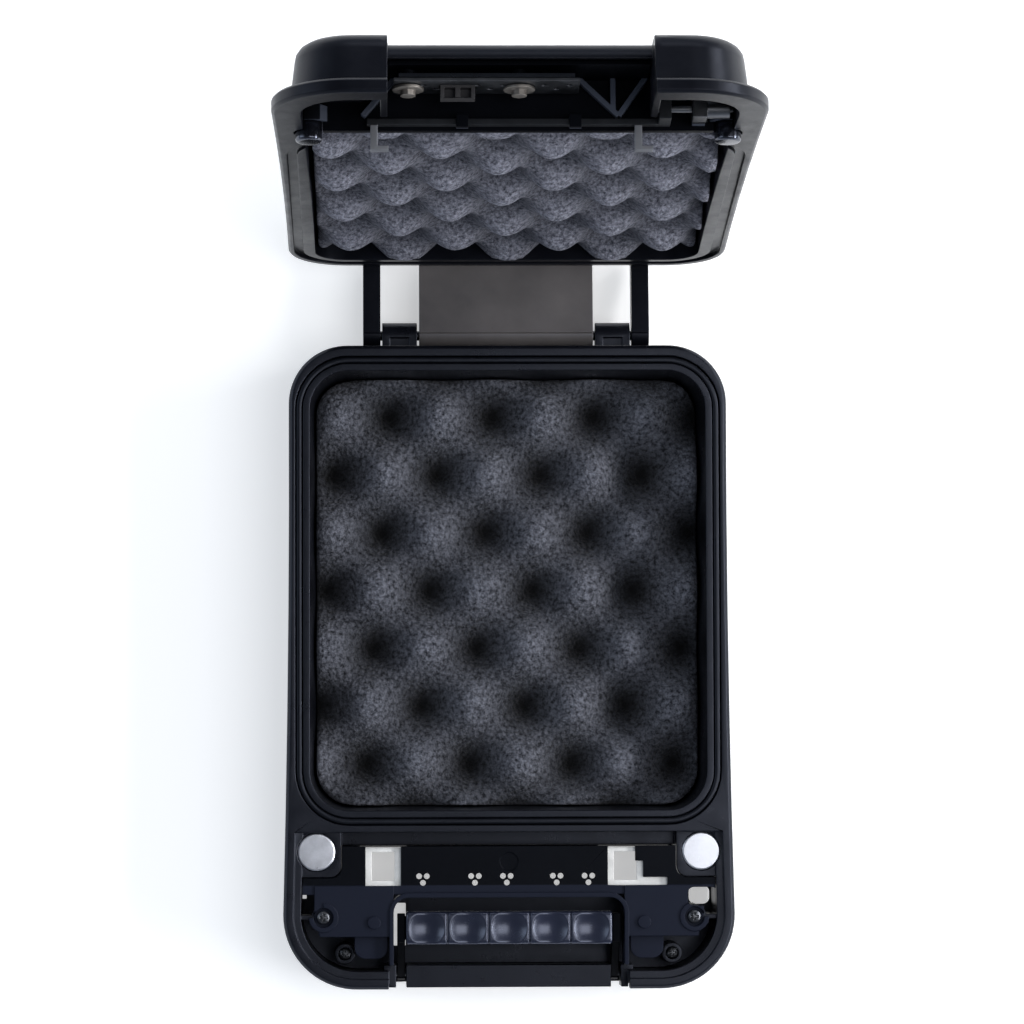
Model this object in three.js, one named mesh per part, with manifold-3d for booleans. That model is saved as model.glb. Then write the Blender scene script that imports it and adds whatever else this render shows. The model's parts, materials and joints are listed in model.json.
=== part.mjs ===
// Portable car safe, shown with its lid standing open. Millimetres, +Z up, hinge towards +Y.
// The origin is the middle of the base's underside. Lid parts are drawn shut, then swung open.
import * as THREE from "three";
import { mergeVertices } from "three/addons/utils/BufferGeometryUtils.js";
import Module from "manifold-3d";

const wasm = await Module();
wasm.setup();

// Case outline seen from above
const rearWidth = 200;
const frontFlare = 5.6;
const sideWaist = 1.4;
const rearCornerRadius = 27;
const frontCornerRadius = 34;
const smallestCornerRadius = 4;
const cornerSteps = 6;
const smallCornerSteps = 3;
const dishRings = 3;
const dishSides = 16;
const bottomRoundSteps = 3;
const capRoundSteps = 4;
const sideSteps = 5;

// Heights, walls and clearances
const baseHeight = 46;
const lidHeight = 30;
const wallThickness = 3;
const floorThickness = 3;
const partingGap = 0.4;
const fitGap = 0.3;
const overrun = 5;
const smoothSides = 16;
const screwSides = 10;
const screwStemShare = 0.5;
const crossArmShare = 0.2;
const crossReachShare = 0.62;
const crossDepthShare = 0.5;

// Base body
const bodyInset = 2;
const bottomRoundRadius = 6;
const rimBandHeight = 10;
const rimEdgeRound = 1.4;
const cavitySideLand = 10;
const cavityLength = 200;
const cavityRearLand = 11.4;
const cavityCornerRadius = 18;
const cavityDraft = 3;

// Seal
const sealOffset = 3;
const sealGrooveWidth = 3.6;
const sealGrooveDepth = 3.4;
const sealStandDown = 0.5;

// Front compartment
const dividerThickness = 9.6;
const compartmentLength = 71;
const compartmentInset = 8;
const compartmentRimInset = 4.6;
const compartmentRimDepth = 2;
const trenchWidth = 6;
const trenchFloorHeight = 30;
const deckDrop = 3;
const deckThickness = 1.8;
const deckStripWidth = 22;
const deckWingReach = 41;
const deckWingInset = 13.9;
const deckSeatDepth = 1.1;
const deckWingRise = 0.8;
const deckStepReach = 10;
const deckStepWidth = 15;
const deckStepFromSide = 32.8;
const deckStepDrop = 2.4;
const pillarReach = 26.8;
const pillarLength = 20.5;
const pillarTopDrop = 4;
const pillarCornerRadius = 5;
const discRadius = 8.6;
const discThickness = 1.6;
const discFromSide = 15.6;
const discFromDivider = 9;

// Latch windows, strike plates and the three-lobed openings
const windowFromSide = 47.9;
const windowShift = -2.1;
const lobeShift = -1;
const windowWidth = 16;
const windowLength = 17.6;
const windowFromDivider = 15.5;
const windowSlotReach = 11;
const windowSlotWidth = 3.6;
const windowStepWidth = 3.6;
const windowStepLength = 11;
const strikeThickness = 1.5;
const strikeMargin = 3;
const strikeHoleWidth = 10.4;
const strikeHoleLength = 13;
const lobeRadius = 1.35;
const lobeSpread = 2;
const lobeFromDivider = 21;
const lobeRowFromWindow = 16.9;
const lobeShares = [-1, -0.38, 0, 0.595, 0.974];
const floorWindowMargin = 3;

// Deck screws and pins
const deckScrewFromSide = 18.8;
const deckScrewFromDivider = 38.6;
const deckScrewRadius = 2.9;
const deckScrewHeight = 2;
const deckBossRadius = 5.6;
const deckBossHeight = 1.6;
const deckPinFromSide = 28.3;
const deckPinFromDivider = 55.3;
const deckPinRadius = 2.5;
const deckPinHeight = 5;
const deckPinDomeShare = 0.6;
const deckStudFromSide = 41.6;
const deckStudFromDivider = 40.9;
const deckStudRadius = 2.9;
const deckStudHeight = 1.3;
const deckMarkRadius = 4.2;
const deckMarkFromDivider = 13.5;
const deckMarkDepth = 0.35;

// Handle housing and handle
const housingFromSide = 48.3;
const housingWall = 2.2;
const housingRearFromDivider = 27.5;
const housingCornerRadius = 9;
const housingRise = 1.6;
const housingDepth = 26;
const frontLedgeHeight = 30;
const frontLedgeWidth = 10.2;
const frontLedgeSetback = 0.3;
const frontLedgeFoot = 8;
const handlePivotHeight = 10;
const handlePivotSetback = 6.5;
const gripSetback = 27.5;
const gripHeight = 36;
const gripFromSide = 56;
const gripWidth = 15;
const gripThickness = 14;
const gripChamfer = 1.2;
const gripEndChamfer = 1.2;
const gripWall = 2;
const padPitchShare = 0.199;
const padCount = 5;
const padDishShare = 0.444;
const padDishDepth = 2.2;
const padGrooveWidth = 1;
const padGrooveDepth = 0.9;
const handleArmThickness = 3.6;
const handleArmPlateWidth = 13;
const handleArmPlateDrop = 3;
const handleArmWidth = 7;
const handlePinRadius = 1.8;
const handleSlotGap = 0.5;
const drainWidth = 5.6;
const drainFront = 9;
const drainRear = 10.6;
const cornerDrainFromSide = 7.8;
const cornerDrainWidth = 2.7;
const cornerDrainLength = 5.5;
const cornerOpeningSide = 19;
const cornerOpeningLength = 8.5;
const cornerOpeningFromPillar = 4.8;
const cornerOpeningRound = 3;

// Hinge
const hingeBehind = 7;
const hingeBelow = 30.9;
const hingePinRadius = 2.2;
const hingeBarrelRadius = 6;
const hingePinGrip = 4;
const flapShare = 0.4;
const flapThickness = 3;
const flapRibThickness = 1.4;
const flapRibHeight = 1.6;
const knuckleGap = 1;
const knuckleShare = 0.08;
const armShare = 0.04;
const hingeSideGap = 0.8;
const knuckleSlotShare = 0.56;
const knuckleSlotLength = 4.4;
const knuckleSlotDepth = 2;
const lidOpenAngle = 98;

// Lid body
const lidFlangeHeight = 6.4;
const lidFlangeRound = 1.2;
const lidCapInset = 8;
const lidCapDraft = 1.6;
const lidCapRound = 7;
const lidCrownInset = 60;
const lidCrownRise = 1;
const lidLandInset = 12.2;
const notchDepth = 33;
const notchLipRadius = 7;
const lidSealDepth = 2;

// Foam pads
const foamGap = 0.4;
const foamPitchAcross = 47;
const foamPitchAlong = 53;
const baseFoamThickness = 24.5;
const baseFoamWave = 13;
const baseFoamCrestX = 63.5;
const baseFoamCrestY = 115;
const baseFoamLean = 0.07;
const lidFoamThickness = 28;
const lidFoamWave = 14;
const lidFoamCrestX = 0.6;
const lidFoamCrestY = 131;
const lidFoamLean = 0.05;
const lidFoamProudInset = 5;
const foamStepsAcross = 22;
const foamStepsAlong = 26;

// Latch bay in the lid
const bayWallFromDivider = 8;
const bayWallThickness = 3.4;
const bayPlateThickness = 2;
const bayPlateDrop = 1.4;
const ribThickness = 2.2;
const ribDepth = 4;
const ribPeakFromNotch = 13;
const ribLeftFromNotch = 30.7;
const ribRightFromNotch = 1.1;
const strutInnerFromSide = 52;
const strutOuterFromSide = 38;
const cornerRibFromSide = 25.8;
const ribFootHeight = 5.5;
const postRadius = 5.6;
const postHeight = 15;
const postTipRound = 1.4;
const postDrop = 3.4;
const postBossRadius = 8.4;
const postBossRise = 4;
const postBossHeight = 6.6;

// Lock works
const chassisHeight = 15;
const chassisThickness = 1.5;
const chassisFromNotch = 2.5;
const chassisRightShare = 0.48;
const chassisHoleRadius = 1.3;
const chassisHoleStagger = 5.4;
const chassisHolePitchShare = 0.1;
const chassisHoleCount = 3;
const chassisHoleRuns = [-0.76, -0.33, 0.2];
const guideThickness = 1.4;
const guideShare = 0.5;
const guideWidth = 5;
const guideReachShare = 0.34;
const slideRise = 1.8;
const slideThickness = 2.5;
const slideWidth = 4.4;
const slideEndFromSide = 39.8;
const latchTravel = 5;
const hookNeckWidth = 3;
const hookFootReach = 4.5;
const hookFootThickness = 1.8;
const hookLength = 4.4;
const nutWidth = 5;
const nutWall = 2;
const screwRadius = 1.5;
const screwRunLength = 13.7;
const screwAxisFromWall = 10.6;
const screwAxisRise = 6.6;
const motorRadius = 4;
const motorLength = 9.5;
const gearboxLength = 6;
const gearboxSize = 9;
const motorTailShare = 0.34;
const washerShares = [-0.885, 0];
const washerRadius = 6.6;
const washerThickness = 1.2;
const washerStemShare = 0.28;
const washerHeadRise = 3.6;
const worksPillarRadius = 3;
const boardThickness = 1.6;
const boardLeftShare = -0.96;
const boardRightShare = 0.44;
const connectorWidth = 14.4;
const connectorLength = 6;
const connectorHeight = 7;
const connectorShare = -0.49;
const connectorHole = 4.4;
const connectorPitch = 6.6;
const connectorHoleDepth = 3.4;
const connectorHoleDrop = 2.4;

// Battery and its cover
const batteryWidth = 20;
const batteryLength = 34;
const batteryHeight = 9;
const batteryGap = 1.5;
const batteryEdgeRound = 2;
const coverThickness = 2;
const coverMargin = 2;
const coverScrewRadius = 2.4;
const coverScrewHeight = 1.4;

// Keypad on the lid's top
const keypadFromSide = 50.8;
const keypadWidth = 30;
const keypadCornerRadius = 8;
const keypadFromFront = 66;
const keypadThickness = 2;
const keypadStandProud = 0.8;
const buttonCount = 4;
const buttonPitchShare = 0.202;
const buttonSpace = 6;
const buttonCornerShare = 0.2;
const buttonHeight = 3.4;
const buttonTravel = 1.2;
const buttonDish = 0.7;
const buttonDishShare = 0.42;
const lensRadius = 2;
const lensFromKeypadEnd = 7;

// Override lock
const lockRadius = 8;
const lockFromSide = 29.8;
const lockFromFront = 42;
const lockDepth = 16;
const lockFlangeRadius = 10.5;
const lockFlangeHeight = 1.2;
const plugRadius = 5;
const keywayWidth = 1.6;
const keywayLength = 6.4;
const keywayDepth = 6;
const camLength = 9;
const camWidth = 5;
const camThickness = 1.6;

// Feet
const footRadius = 8;
const footRecess = 1;
const footProud = 1.5;
const footFromSide = 28.8;
const footFromEnd = 34;

// Places worked out from the sizes above
const caseLength = cavityRearLand + cavityLength + dividerThickness + compartmentLength;
const frontWidth = rearWidth + frontFlare;
const frontHalf = frontWidth / 2;
const cavityWidth = rearWidth - 2 * cavitySideLand;
const discSide = frontHalf - discFromSide;
const pillarInnerEdge = frontHalf - pillarReach;
const windowSide = frontHalf - windowFromSide;
const windowX = (side) => windowShift + side * windowSide;
const lobeSides = lobeShares.map((share) => lobeShift + share * (windowSide - lobeRowFromWindow));
const deckStepOuterEdge = frontHalf - deckStepFromSide;
const deckStepInnerEdge = deckStepOuterEdge - deckStepWidth;
const deckScrewSide = frontHalf - deckScrewFromSide;
const deckPinSide = frontHalf - deckPinFromSide;
const deckStudSide = frontHalf - deckStudFromSide;
const housingHalfWidth = frontHalf - housingFromSide;
const notchHalfWidth = housingHalfWidth;
const gripLength = 2 * (frontHalf - gripFromSide);
const padPitch = gripLength * padPitchShare;
const padDishRadius = padPitch * padDishShare;
const handleArmSide = gripLength / 2 + fitGap + handleArmThickness / 2;
const flapHalfWidth = (rearWidth / 2) * flapShare;
const knuckleInnerSide = flapHalfWidth + knuckleGap;
const knuckleWidth = rearWidth * knuckleShare;
const knuckleSlotWidth = knuckleWidth * knuckleSlotShare;
const armWidth = rearWidth * armShare;
const ribPeakSide = notchHalfWidth - ribPeakFromNotch;
const ribLeftSide = notchHalfWidth - ribLeftFromNotch;
const ribRightSide = notchHalfWidth - ribRightFromNotch;
const strutInnerSide = frontHalf - strutInnerFromSide;
const strutOuterSide = frontHalf - strutOuterFromSide;
const cornerRibSide = frontHalf - cornerRibFromSide;
const chassisHalfWidth = notchHalfWidth - chassisFromNotch;
const chassisHolePitch = chassisHalfWidth * chassisHolePitchShare;
const guideSide = chassisHalfWidth * guideShare;
const slideEnd = frontHalf - slideEndFromSide;
const screwStart = notchHalfWidth + wallThickness + fitGap;
const motorSide = screwStart + screwRunLength;
const washerScrewSides = washerShares.map((share) => share * chassisHalfWidth);
const boardLeft = chassisHalfWidth * boardLeftShare;
const boardRight = chassisHalfWidth * boardRightShare;
const connectorSide = chassisHalfWidth * connectorShare;
const keypadLength = 2 * (frontHalf - keypadFromSide);
const buttonPitch = keypadLength * buttonPitchShare;
const buttonSize = buttonPitch - buttonSpace;
const buttonCornerRadius = buttonSize * buttonCornerShare;
const lensSide = keypadLength / 2 - lensFromKeypadEnd;
const lockSide = frontHalf - lockFromSide;
const footSide = frontHalf - footFromSide;
const frontY = -caseLength / 2;
const rearY = caseLength / 2;
const lidBottom = baseHeight + partingGap;
const lidTop = baseHeight + lidHeight;
const cavityRearY = rearY - cavityRearLand;
const cavityFrontY = cavityRearY - cavityLength;
const cavityMiddleY = (cavityRearY + cavityFrontY) / 2;
const dividerY = cavityFrontY - dividerThickness;
const hingeY = rearY + hingeBehind;
const hingeZ = baseHeight - hingeBelow;
const deckTop = baseHeight - deckDrop;
const deckBottom = deckTop - deckThickness;
const pillarTop = baseHeight - pillarTopDrop;
const pillarFrontY = dividerY - pillarLength;
const discY = dividerY - discFromDivider;
const windowY = dividerY - windowFromDivider;
const housingRearY = dividerY - housingRearFromDivider;
const handlePivotY = frontY + handlePivotSetback;
const gripY = frontY + gripSetback;
const bayWallRearY = dividerY - bayWallFromDivider;
const bayWallFrontY = bayWallRearY - bayWallThickness;
const notchY = frontY + notchDepth;
const capBottom = lidBottom + lidFlangeHeight + lidFlangeRound;
const capInnerTop = lidTop - lidCrownRise - wallThickness;
const chassisZ = lidBottom + chassisHeight;
const slideBottom = lidBottom + slideRise;
const slideTop = slideBottom + slideThickness;
const slideRearY = bayWallFrontY - fitGap;
const slideFrontY = slideRearY - slideWidth;
const screwAxisY = bayWallFrontY - screwAxisFromWall;
const screwAxisZ = lidBottom + screwAxisRise;
const strikeTop = deckBottom - fitGap;
const strikeBottom = strikeTop - strikeThickness;
const keypadY = frontY + keypadFromFront;
const lockY = frontY + lockFromFront;

// Finishes
const finish = (color, roughness, metalness = 0) =>
  new THREE.MeshStandardMaterial({ color, roughness, metalness });
const shellBlack = finish(0x17181b, 0.45);
const linerBlack = finish(0x101114, 0.5);
const satinGrey = finish(0x4b4a49, 0.42);
const foamGrey = finish(0x3a3b3f, 0.95);
const rubberBlack = finish(0x15161a, 0.7);
const brightPlate = finish(0xd8dade, 0.25, 1);
const darkSteel = finish(0x55585c, 0.35, 1);
const boardGreen = finish(0x1f4a33, 0.5);
const connectorCream = finish(0x59544c, 0.6);
const batteryBlue = finish(0x28324a, 0.5);
const lensRed = finish(0x7a1512, 0.2);

/** The solid inside a closed geometry. */
function solid(geometry) {
  const plain = geometry.index ? geometry.toNonIndexed() : geometry.clone();
  plain.deleteAttribute("normal");
  plain.deleteAttribute("uv");
  const merged = mergeVertices(plain);
  const mesh = new wasm.Mesh({
    numProp: 3,
    vertProperties: merged.attributes.position.array,
    triVerts: merged.index.array,
  });
  return new wasm.Manifold(mesh);
}

/** The surface of a solid, as a geometry. */
function geometryOf(body) {
  const mesh = body.getMesh();
  const geometry = new THREE.BufferGeometry();
  geometry.setAttribute("position", new THREE.BufferAttribute(mesh.vertProperties, mesh.numProp));
  geometry.setIndex(new THREE.BufferAttribute(mesh.triVerts, 1));
  geometry.computeVertexNormals();
  return geometry;
}

/** A block between two values on each axis, in either order on X. */
function block(x0, x1, y0, y1, z0, z1) {
  const box = new THREE.BoxGeometry(Math.abs(x1 - x0), y1 - y0, z1 - z0);
  box.translate((x0 + x1) / 2, (y0 + y1) / 2, (z0 + z1) / 2);
  return solid(box);
}

/** An upright round post. */
function post(radius, x, y, z0, z1, sides = smoothSides) {
  const cylinder = new THREE.CylinderGeometry(radius, radius, z1 - z0, sides);
  cylinder.rotateX(Math.PI / 2);
  cylinder.translate(x, y, (z0 + z1) / 2);
  return solid(cylinder);
}

/** A round shaft along X. */
function shaft(radius, x0, x1, y, z, sides = smoothSides) {
  const cylinder = new THREE.CylinderGeometry(radius, radius, Math.abs(x1 - x0), sides);
  cylinder.rotateZ(Math.PI / 2);
  cylinder.translate((x0 + x1) / 2, y, z);
  return solid(cylinder);
}

/** A flat shape, drawn from above, raised from z0 to z1. */
function raise(shape, z0, z1, steps = smallCornerSteps) {
  const options = { depth: z1 - z0, bevelEnabled: false, curveSegments: steps };
  const geometry = new THREE.ExtrudeGeometry(shape, options);
  geometry.translate(0, 0, z0);
  return solid(geometry);
}

/** A shape drawn in Y and Z, carried along X from x0 to x1. */
function carry(shape, x0, x1) {
  const options = { depth: Math.abs(x1 - x0), bevelEnabled: false, curveSegments: cornerSteps };
  const geometry = new THREE.ExtrudeGeometry(shape, options);
  const alongY = new THREE.Vector3(0, 1, 0);
  const alongZ = new THREE.Vector3(0, 0, 1);
  const alongX = new THREE.Vector3(1, 0, 0);
  geometry.applyMatrix4(new THREE.Matrix4().makeBasis(alongY, alongZ, alongX));
  geometry.translate(Math.min(x0, x1), 0, 0);
  return solid(geometry);
}

/** A rectangle with round corners. */
function roundRectangle(width, length, radius, x, y) {
  const shape = new THREE.Shape();
  const right = x + width / 2 - radius;
  const left = x - width / 2 + radius;
  const rear = y + length / 2 - radius;
  const front = y - length / 2 + radius;
  shape.absarc(right, rear, radius, 0, Math.PI / 2);
  shape.absarc(left, rear, radius, Math.PI / 2, Math.PI);
  shape.absarc(left, front, radius, Math.PI, 1.5 * Math.PI);
  shape.absarc(right, front, radius, 1.5 * Math.PI, 2 * Math.PI);
  return shape;
}

/** A shallow round dish to cut into a face at height z: part of a sphere. */
function dish(radius, depth, x, y, z) {
  const sphere = (radius ** 2 + depth ** 2) / (2 * depth);
  const widest = Math.asin(radius / sphere);
  const profile = [];
  for (let ring = 0; ring <= dishRings; ring += 1) {
    const angle = (ring / dishRings) * widest;
    profile.push(new THREE.Vector2(sphere * Math.sin(angle), sphere * (1 - Math.cos(angle)) - depth));
  }
  profile.push(new THREE.Vector2(radius, overrun), new THREE.Vector2(0, overrun));
  const geometry = new THREE.LatheGeometry(profile, dishSides);
  geometry.rotateX(Math.PI / 2);
  geometry.translate(x, y, z);
  return solid(geometry);
}

/** A polygon through [x, y] pairs. */
function polygon(pairs) {
  return new THREE.Shape(pairs.map(([x, y]) => new THREE.Vector2(x, y)));
}

/** The case's outline drawn in by inset: wider in front, with long, slightly waisted sides. */
function caseOutline(inset) {
  const points = [];
  const cornerAt = (sideX, sideY, start) => {
    const half = (sideY > 0 ? rearWidth : frontWidth) / 2 - inset;
    const full = sideY > 0 ? rearCornerRadius : frontCornerRadius;
    const radius = Math.max(full - inset, smallestCornerRadius);
    const centreX = sideX * (half - radius);
    const centreY = sideY * (caseLength / 2 - inset - radius);
    for (let step = 0; step <= cornerSteps; step += 1) {
      const angle = start + (step / cornerSteps) * (Math.PI / 2);
      points.push([centreX + radius * Math.cos(angle), centreY + radius * Math.sin(angle)]);
    }
  };
  const sideTo = (nextX, nextY) => {
    const [fromX, fromY] = points[points.length - 1];
    for (let step = 1; step < sideSteps; step += 1) {
      const share = step / sideSteps;
      points.push([fromX + (nextX - fromX) * share, fromY + (nextY - fromY) * share]);
    }
  };
  const frontRadius = Math.max(frontCornerRadius - inset, smallestCornerRadius);
  cornerAt(1, 1, 0);
  cornerAt(-1, 1, Math.PI / 2);
  sideTo(inset - frontWidth / 2, inset + frontRadius - caseLength / 2);
  cornerAt(-1, -1, Math.PI);
  cornerAt(1, -1, 1.5 * Math.PI);
  sideTo(points[0][0], points[0][1]);
  const waist = (y) => sideWaist * (1 - (2 * y / caseLength) ** 2);
  return points.map(([x, y]) => [x - Math.sign(x) * waist(y), y]);
}

/** A body through outlines of equal count, lowest first, each { points, z }. */
function loft(levels) {
  const count = levels[0].points.length;
  const positions = [];
  const index = [];
  for (const { points, z } of levels) {
    for (const [x, y] of points) {
      positions.push(x, y, z);
    }
  }
  for (let level = 0; level + 1 < levels.length; level += 1) {
    for (let i = 0; i < count; i += 1) {
      const a = level * count + i;
      const b = level * count + ((i + 1) % count);
      index.push(a, b, b + count, a, b + count, a + count);
    }
  }
  const capWith = (level, flip) => {
    const { points, z } = levels[level];
    const centre = positions.length / 3;
    const mean = (axis) => points.reduce((sum, point) => sum + point[axis], 0) / count;
    positions.push(mean(0), mean(1), z);
    for (let i = 0; i < count; i += 1) {
      const a = level * count + i;
      const b = level * count + ((i + 1) % count);
      index.push(centre, flip ? b : a, flip ? a : b);
    }
  };
  capWith(0, true);
  capWith(levels.length - 1, false);
  const geometry = new THREE.BufferGeometry();
  geometry.setAttribute("position", new THREE.Float32BufferAttribute(positions, 3));
  geometry.setIndex(index);
  return solid(geometry);
}

/** A loft of the case's outline through [inset, z] pairs. */
const caseLoft = (pairs) => loft(pairs.map(([inset, z]) => ({ points: caseOutline(inset), z })));

/** A loft of round rectangles through [width, length, radius, z] rows. */
function cavityLoft(rows, x, y) {
  const levels = rows.map(([width, length, radius, z]) => ({
    points: roundRectangle(width, length, radius, x, y)
      .getPoints(cornerSteps)
      .filter((point, i, all) => i === 0 || point.distanceTo(all[i - 1]) > 0)
      .map((point) => [point.x, point.y]),
    z,
  }));
  return loft(levels);
}

const union = (bodies) => bodies.reduce((sum, body) => sum.add(body));
const cut = (body, tools) => tools.reduce((rest, tool) => rest.subtract(tool), body);

const safe = new THREE.Group();
const shutLid = new THREE.Group();
const swungLid = new THREE.Group();
shutLid.position.set(0, -hingeY, -hingeZ);
swungLid.position.set(0, hingeY, hingeZ);
swungLid.rotation.x = -THREE.MathUtils.degToRad(lidOpenAngle);
swungLid.add(shutLid);
safe.add(swungLid);

/** Adds one named piece to a group. */
function place(group, name, body, material) {
  const mesh = new THREE.Mesh(geometryOf(body), material);
  mesh.name = name;
  group.add(mesh);
}

const sides = [
  { side: -1, word: "left" },
  { side: 1, word: "right" },
];

/** The ring between two round rectangles round the cavity's mouth. */
function sealRing(inner, outer, z0, z1) {
  const ringAt = (offset, low, high) =>
    raise(
      roundRectangle(
        cavityWidth + 2 * offset,
        cavityLength + 2 * offset,
        cavityCornerRadius + offset,
        0,
        cavityMiddleY,
      ),
      low,
      high,
      cornerSteps - 1,
    );
  return ringAt(outer, z0, z1).subtract(ringAt(inner, z0 - overrun, z1 + overrun));
}

/** The opening in the deck over a strike plate: square, and stepped with a side slot on the right. */
function windowCut(side, z0, z1) {
  const x = windowX(side);
  const rear = windowY + windowLength / 2;
  const front = windowY - windowLength / 2;
  const square = block(x - windowWidth / 2, x + windowWidth / 2, front, rear, z0, z1);
  if (side < 0) {
    return square;
  }
  const edge = x + windowWidth / 2;
  const step = block(edge - windowStepWidth, edge, rear - windowLength + windowStepLength, rear, z0, z1);
  const slot = block(x, edge + windowSlotReach, front, front + windowSlotWidth, z0, z1);
  return square.subtract(step).add(slot);
}

/** Three round lobes, two behind and one in front. */
function lobes(x, y, z0, z1) {
  const angles = [Math.PI / 6, (5 * Math.PI) / 6, 1.5 * Math.PI];
  return angles.map((angle) =>
    post(lobeRadius, x + lobeSpread * Math.cos(angle), y + lobeSpread * Math.sin(angle), z0, z1, screwSides),
  );
}

const lobeY = dividerY - lobeFromDivider;
const screwY = dividerY - deckScrewFromDivider;
const pinY = dividerY - deckPinFromDivider;

/** A corner pillar from above, grown by gap, with a round inner corner. */
function pillarShape(side, gap) {
  const width = 2 * (frontWidth / 2 - pillarInnerEdge + gap);
  const length = 2 * (dividerY - pillarFrontY + gap);
  return roundRectangle(width, length, pillarCornerRadius, (side * frontWidth) / 2, dividerY);
}

const cornerOpeningRear = pillarFrontY - cornerOpeningFromPillar;
const cornerOpeningFloorShift = deckStudRadius;

/** The right corner's opening, seen through the deck and the floor, moved outwards by shift. */
function cornerOpening(shift) {
  const inner = frontHalf - cornerOpeningSide - deckScrewRadius + shift;
  const outer = frontHalf - compartmentInset - shift / 2;
  const middle = cornerOpeningRear - cornerOpeningLength / 2;
  return roundRectangle(outer - inner, cornerOpeningLength, cornerOpeningRound, (inner + outer) / 2, middle);
}

/** Moulded base: rounded body, cavity, seal groove, front compartment, pillars and knuckles. */
function baseShell() {
  const rings = [];
  for (let step = 0; step <= bottomRoundSteps; step += 1) {
    const angle = (step / bottomRoundSteps) * (Math.PI / 2);
    const inset = bodyInset + bottomRoundRadius * (1 - Math.sin(angle));
    rings.push([inset, bottomRoundRadius * (1 - Math.cos(angle))]);
  }
  const bandBottom = baseHeight - rimBandHeight;
  rings.push([bodyInset, bandBottom - bodyInset]);
  rings.push([0, bandBottom]);
  rings.push([0, baseHeight - rimEdgeRound]);
  rings.push([rimEdgeRound, baseHeight]);
  const outer = caseLoft(rings);

  const shrink = 2 * cavityDraft;
  const cavity = cavityLoft(
    [
      [cavityWidth - shrink, cavityLength - shrink, cavityCornerRadius - cavityDraft, floorThickness],
      [cavityWidth, cavityLength, cavityCornerRadius, baseHeight],
      [cavityWidth, cavityLength, cavityCornerRadius, baseHeight + overrun],
    ],
    0,
    cavityMiddleY,
  );
  const above = baseHeight + overrun;
  const grooveFloor = baseHeight - sealGrooveDepth;
  const groove = sealRing(sealOffset, sealOffset + sealGrooveWidth, grooveFloor, above);

  const behindDeck = block(-frontWidth, frontWidth, dividerY - trenchWidth, caseLength, -overrun, above);
  const behindTrench = block(-frontWidth, frontWidth, dividerY, caseLength, -overrun, above);
  const compartment = caseLoft([
    [compartmentInset, floorThickness],
    [compartmentInset, above],
  ]).subtract(behindDeck);
  const trench = caseLoft([
    [compartmentInset, trenchFloorHeight],
    [compartmentInset, above],
  ]).subtract(behindTrench);
  const compartmentRim = caseLoft([
    [compartmentRimInset, baseHeight - compartmentRimDepth],
    [compartmentRimInset, above],
  ]).subtract(behindTrench);

  let body = cut(outer, [cavity, groove, compartment, trench, compartmentRim]);
  const insideWall = caseLoft([
    [bodyInset + wallThickness, 0],
    [bodyInset + wallThickness, baseHeight],
  ]);
  const added = [];
  const removed = [];
  for (const { side } of sides) {
    // corner pillar with the seat of the closing disc
    const pillar = raise(pillarShape(side, 0), floorThickness - fitGap, pillarTop)
      .intersect(insideWall)
      .intersect(block(-frontWidth, frontWidth, frontY, dividerY + fitGap, 0, baseHeight));
    added.push(pillar);
    removed.push(post(discRadius + fitGap, side * discSide, discY, pillarTop - discThickness, above));
    // screw boss under the deck, tied to the side wall
    const bossTop = deckBottom - fitGap;
    const tie = block(
      side * deckScrewSide,
      (side * frontWidth) / 2,
      screwY - ribThickness / 2,
      screwY + ribThickness / 2,
      floorThickness - fitGap,
      bossTop,
    ).intersect(insideWall);
    added.push(post(deckBossRadius, side * deckScrewSide, screwY, floorThickness - fitGap, bossTop));
    added.push(tie);
    // pin post in the corner gutter
    const pinX = side * deckPinSide;
    const pinFloor = trenchFloorHeight - deckPinHeight;
    added.push(post(deckPinRadius + ribThickness, pinX, pinY, floorThickness - fitGap, trenchFloorHeight));
    removed.push(post(deckPinRadius + fitGap, pinX, pinY, pinFloor, above, screwSides));
    // floor opening under the latch window
    const openWidth = windowWidth / 2 + floorWindowMargin;
    const openLength = windowLength / 2 + floorWindowMargin;
    const outerReach = side > 0 ? windowSlotReach : 0;
    removed.push(
      block(
        windowX(side) - openWidth,
        windowX(side) + openWidth + outerReach,
        windowY - openLength,
        windowY + openLength - floorWindowMargin,
        -overrun,
        floorThickness + fitGap,
      ),
    );
    // hinge knuckle
    const inner = side * knuckleInnerSide;
    const outerEdge = side * (knuckleInnerSide + knuckleWidth);
    const arm = block(
      inner,
      outerEdge,
      rearY - wallThickness,
      hingeY,
      hingeZ - hingeBarrelRadius,
      hingeZ + hingeBarrelRadius,
    );
    added.push(arm.add(shaft(hingeBarrelRadius, inner, outerEdge, hingeY, hingeZ)));
    const boreEnd = outerEdge + side * overrun;
    removed.push(shaft(hingePinRadius + fitGap, side * flapHalfWidth, boreEnd, hingeY, hingeZ));
    const slotX = side * (knuckleInnerSide + knuckleWidth / 2);
    const slotY = rearY + hingeBehind / 2;
    removed.push(
      block(
        slotX - knuckleSlotWidth / 2,
        slotX + knuckleSlotWidth / 2,
        slotY - knuckleSlotLength / 2,
        slotY + knuckleSlotLength / 2,
        hingeZ + hingeBarrelRadius - knuckleSlotDepth,
        hingeZ + hingeBarrelRadius + overrun,
      ),
    );
  }
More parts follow.
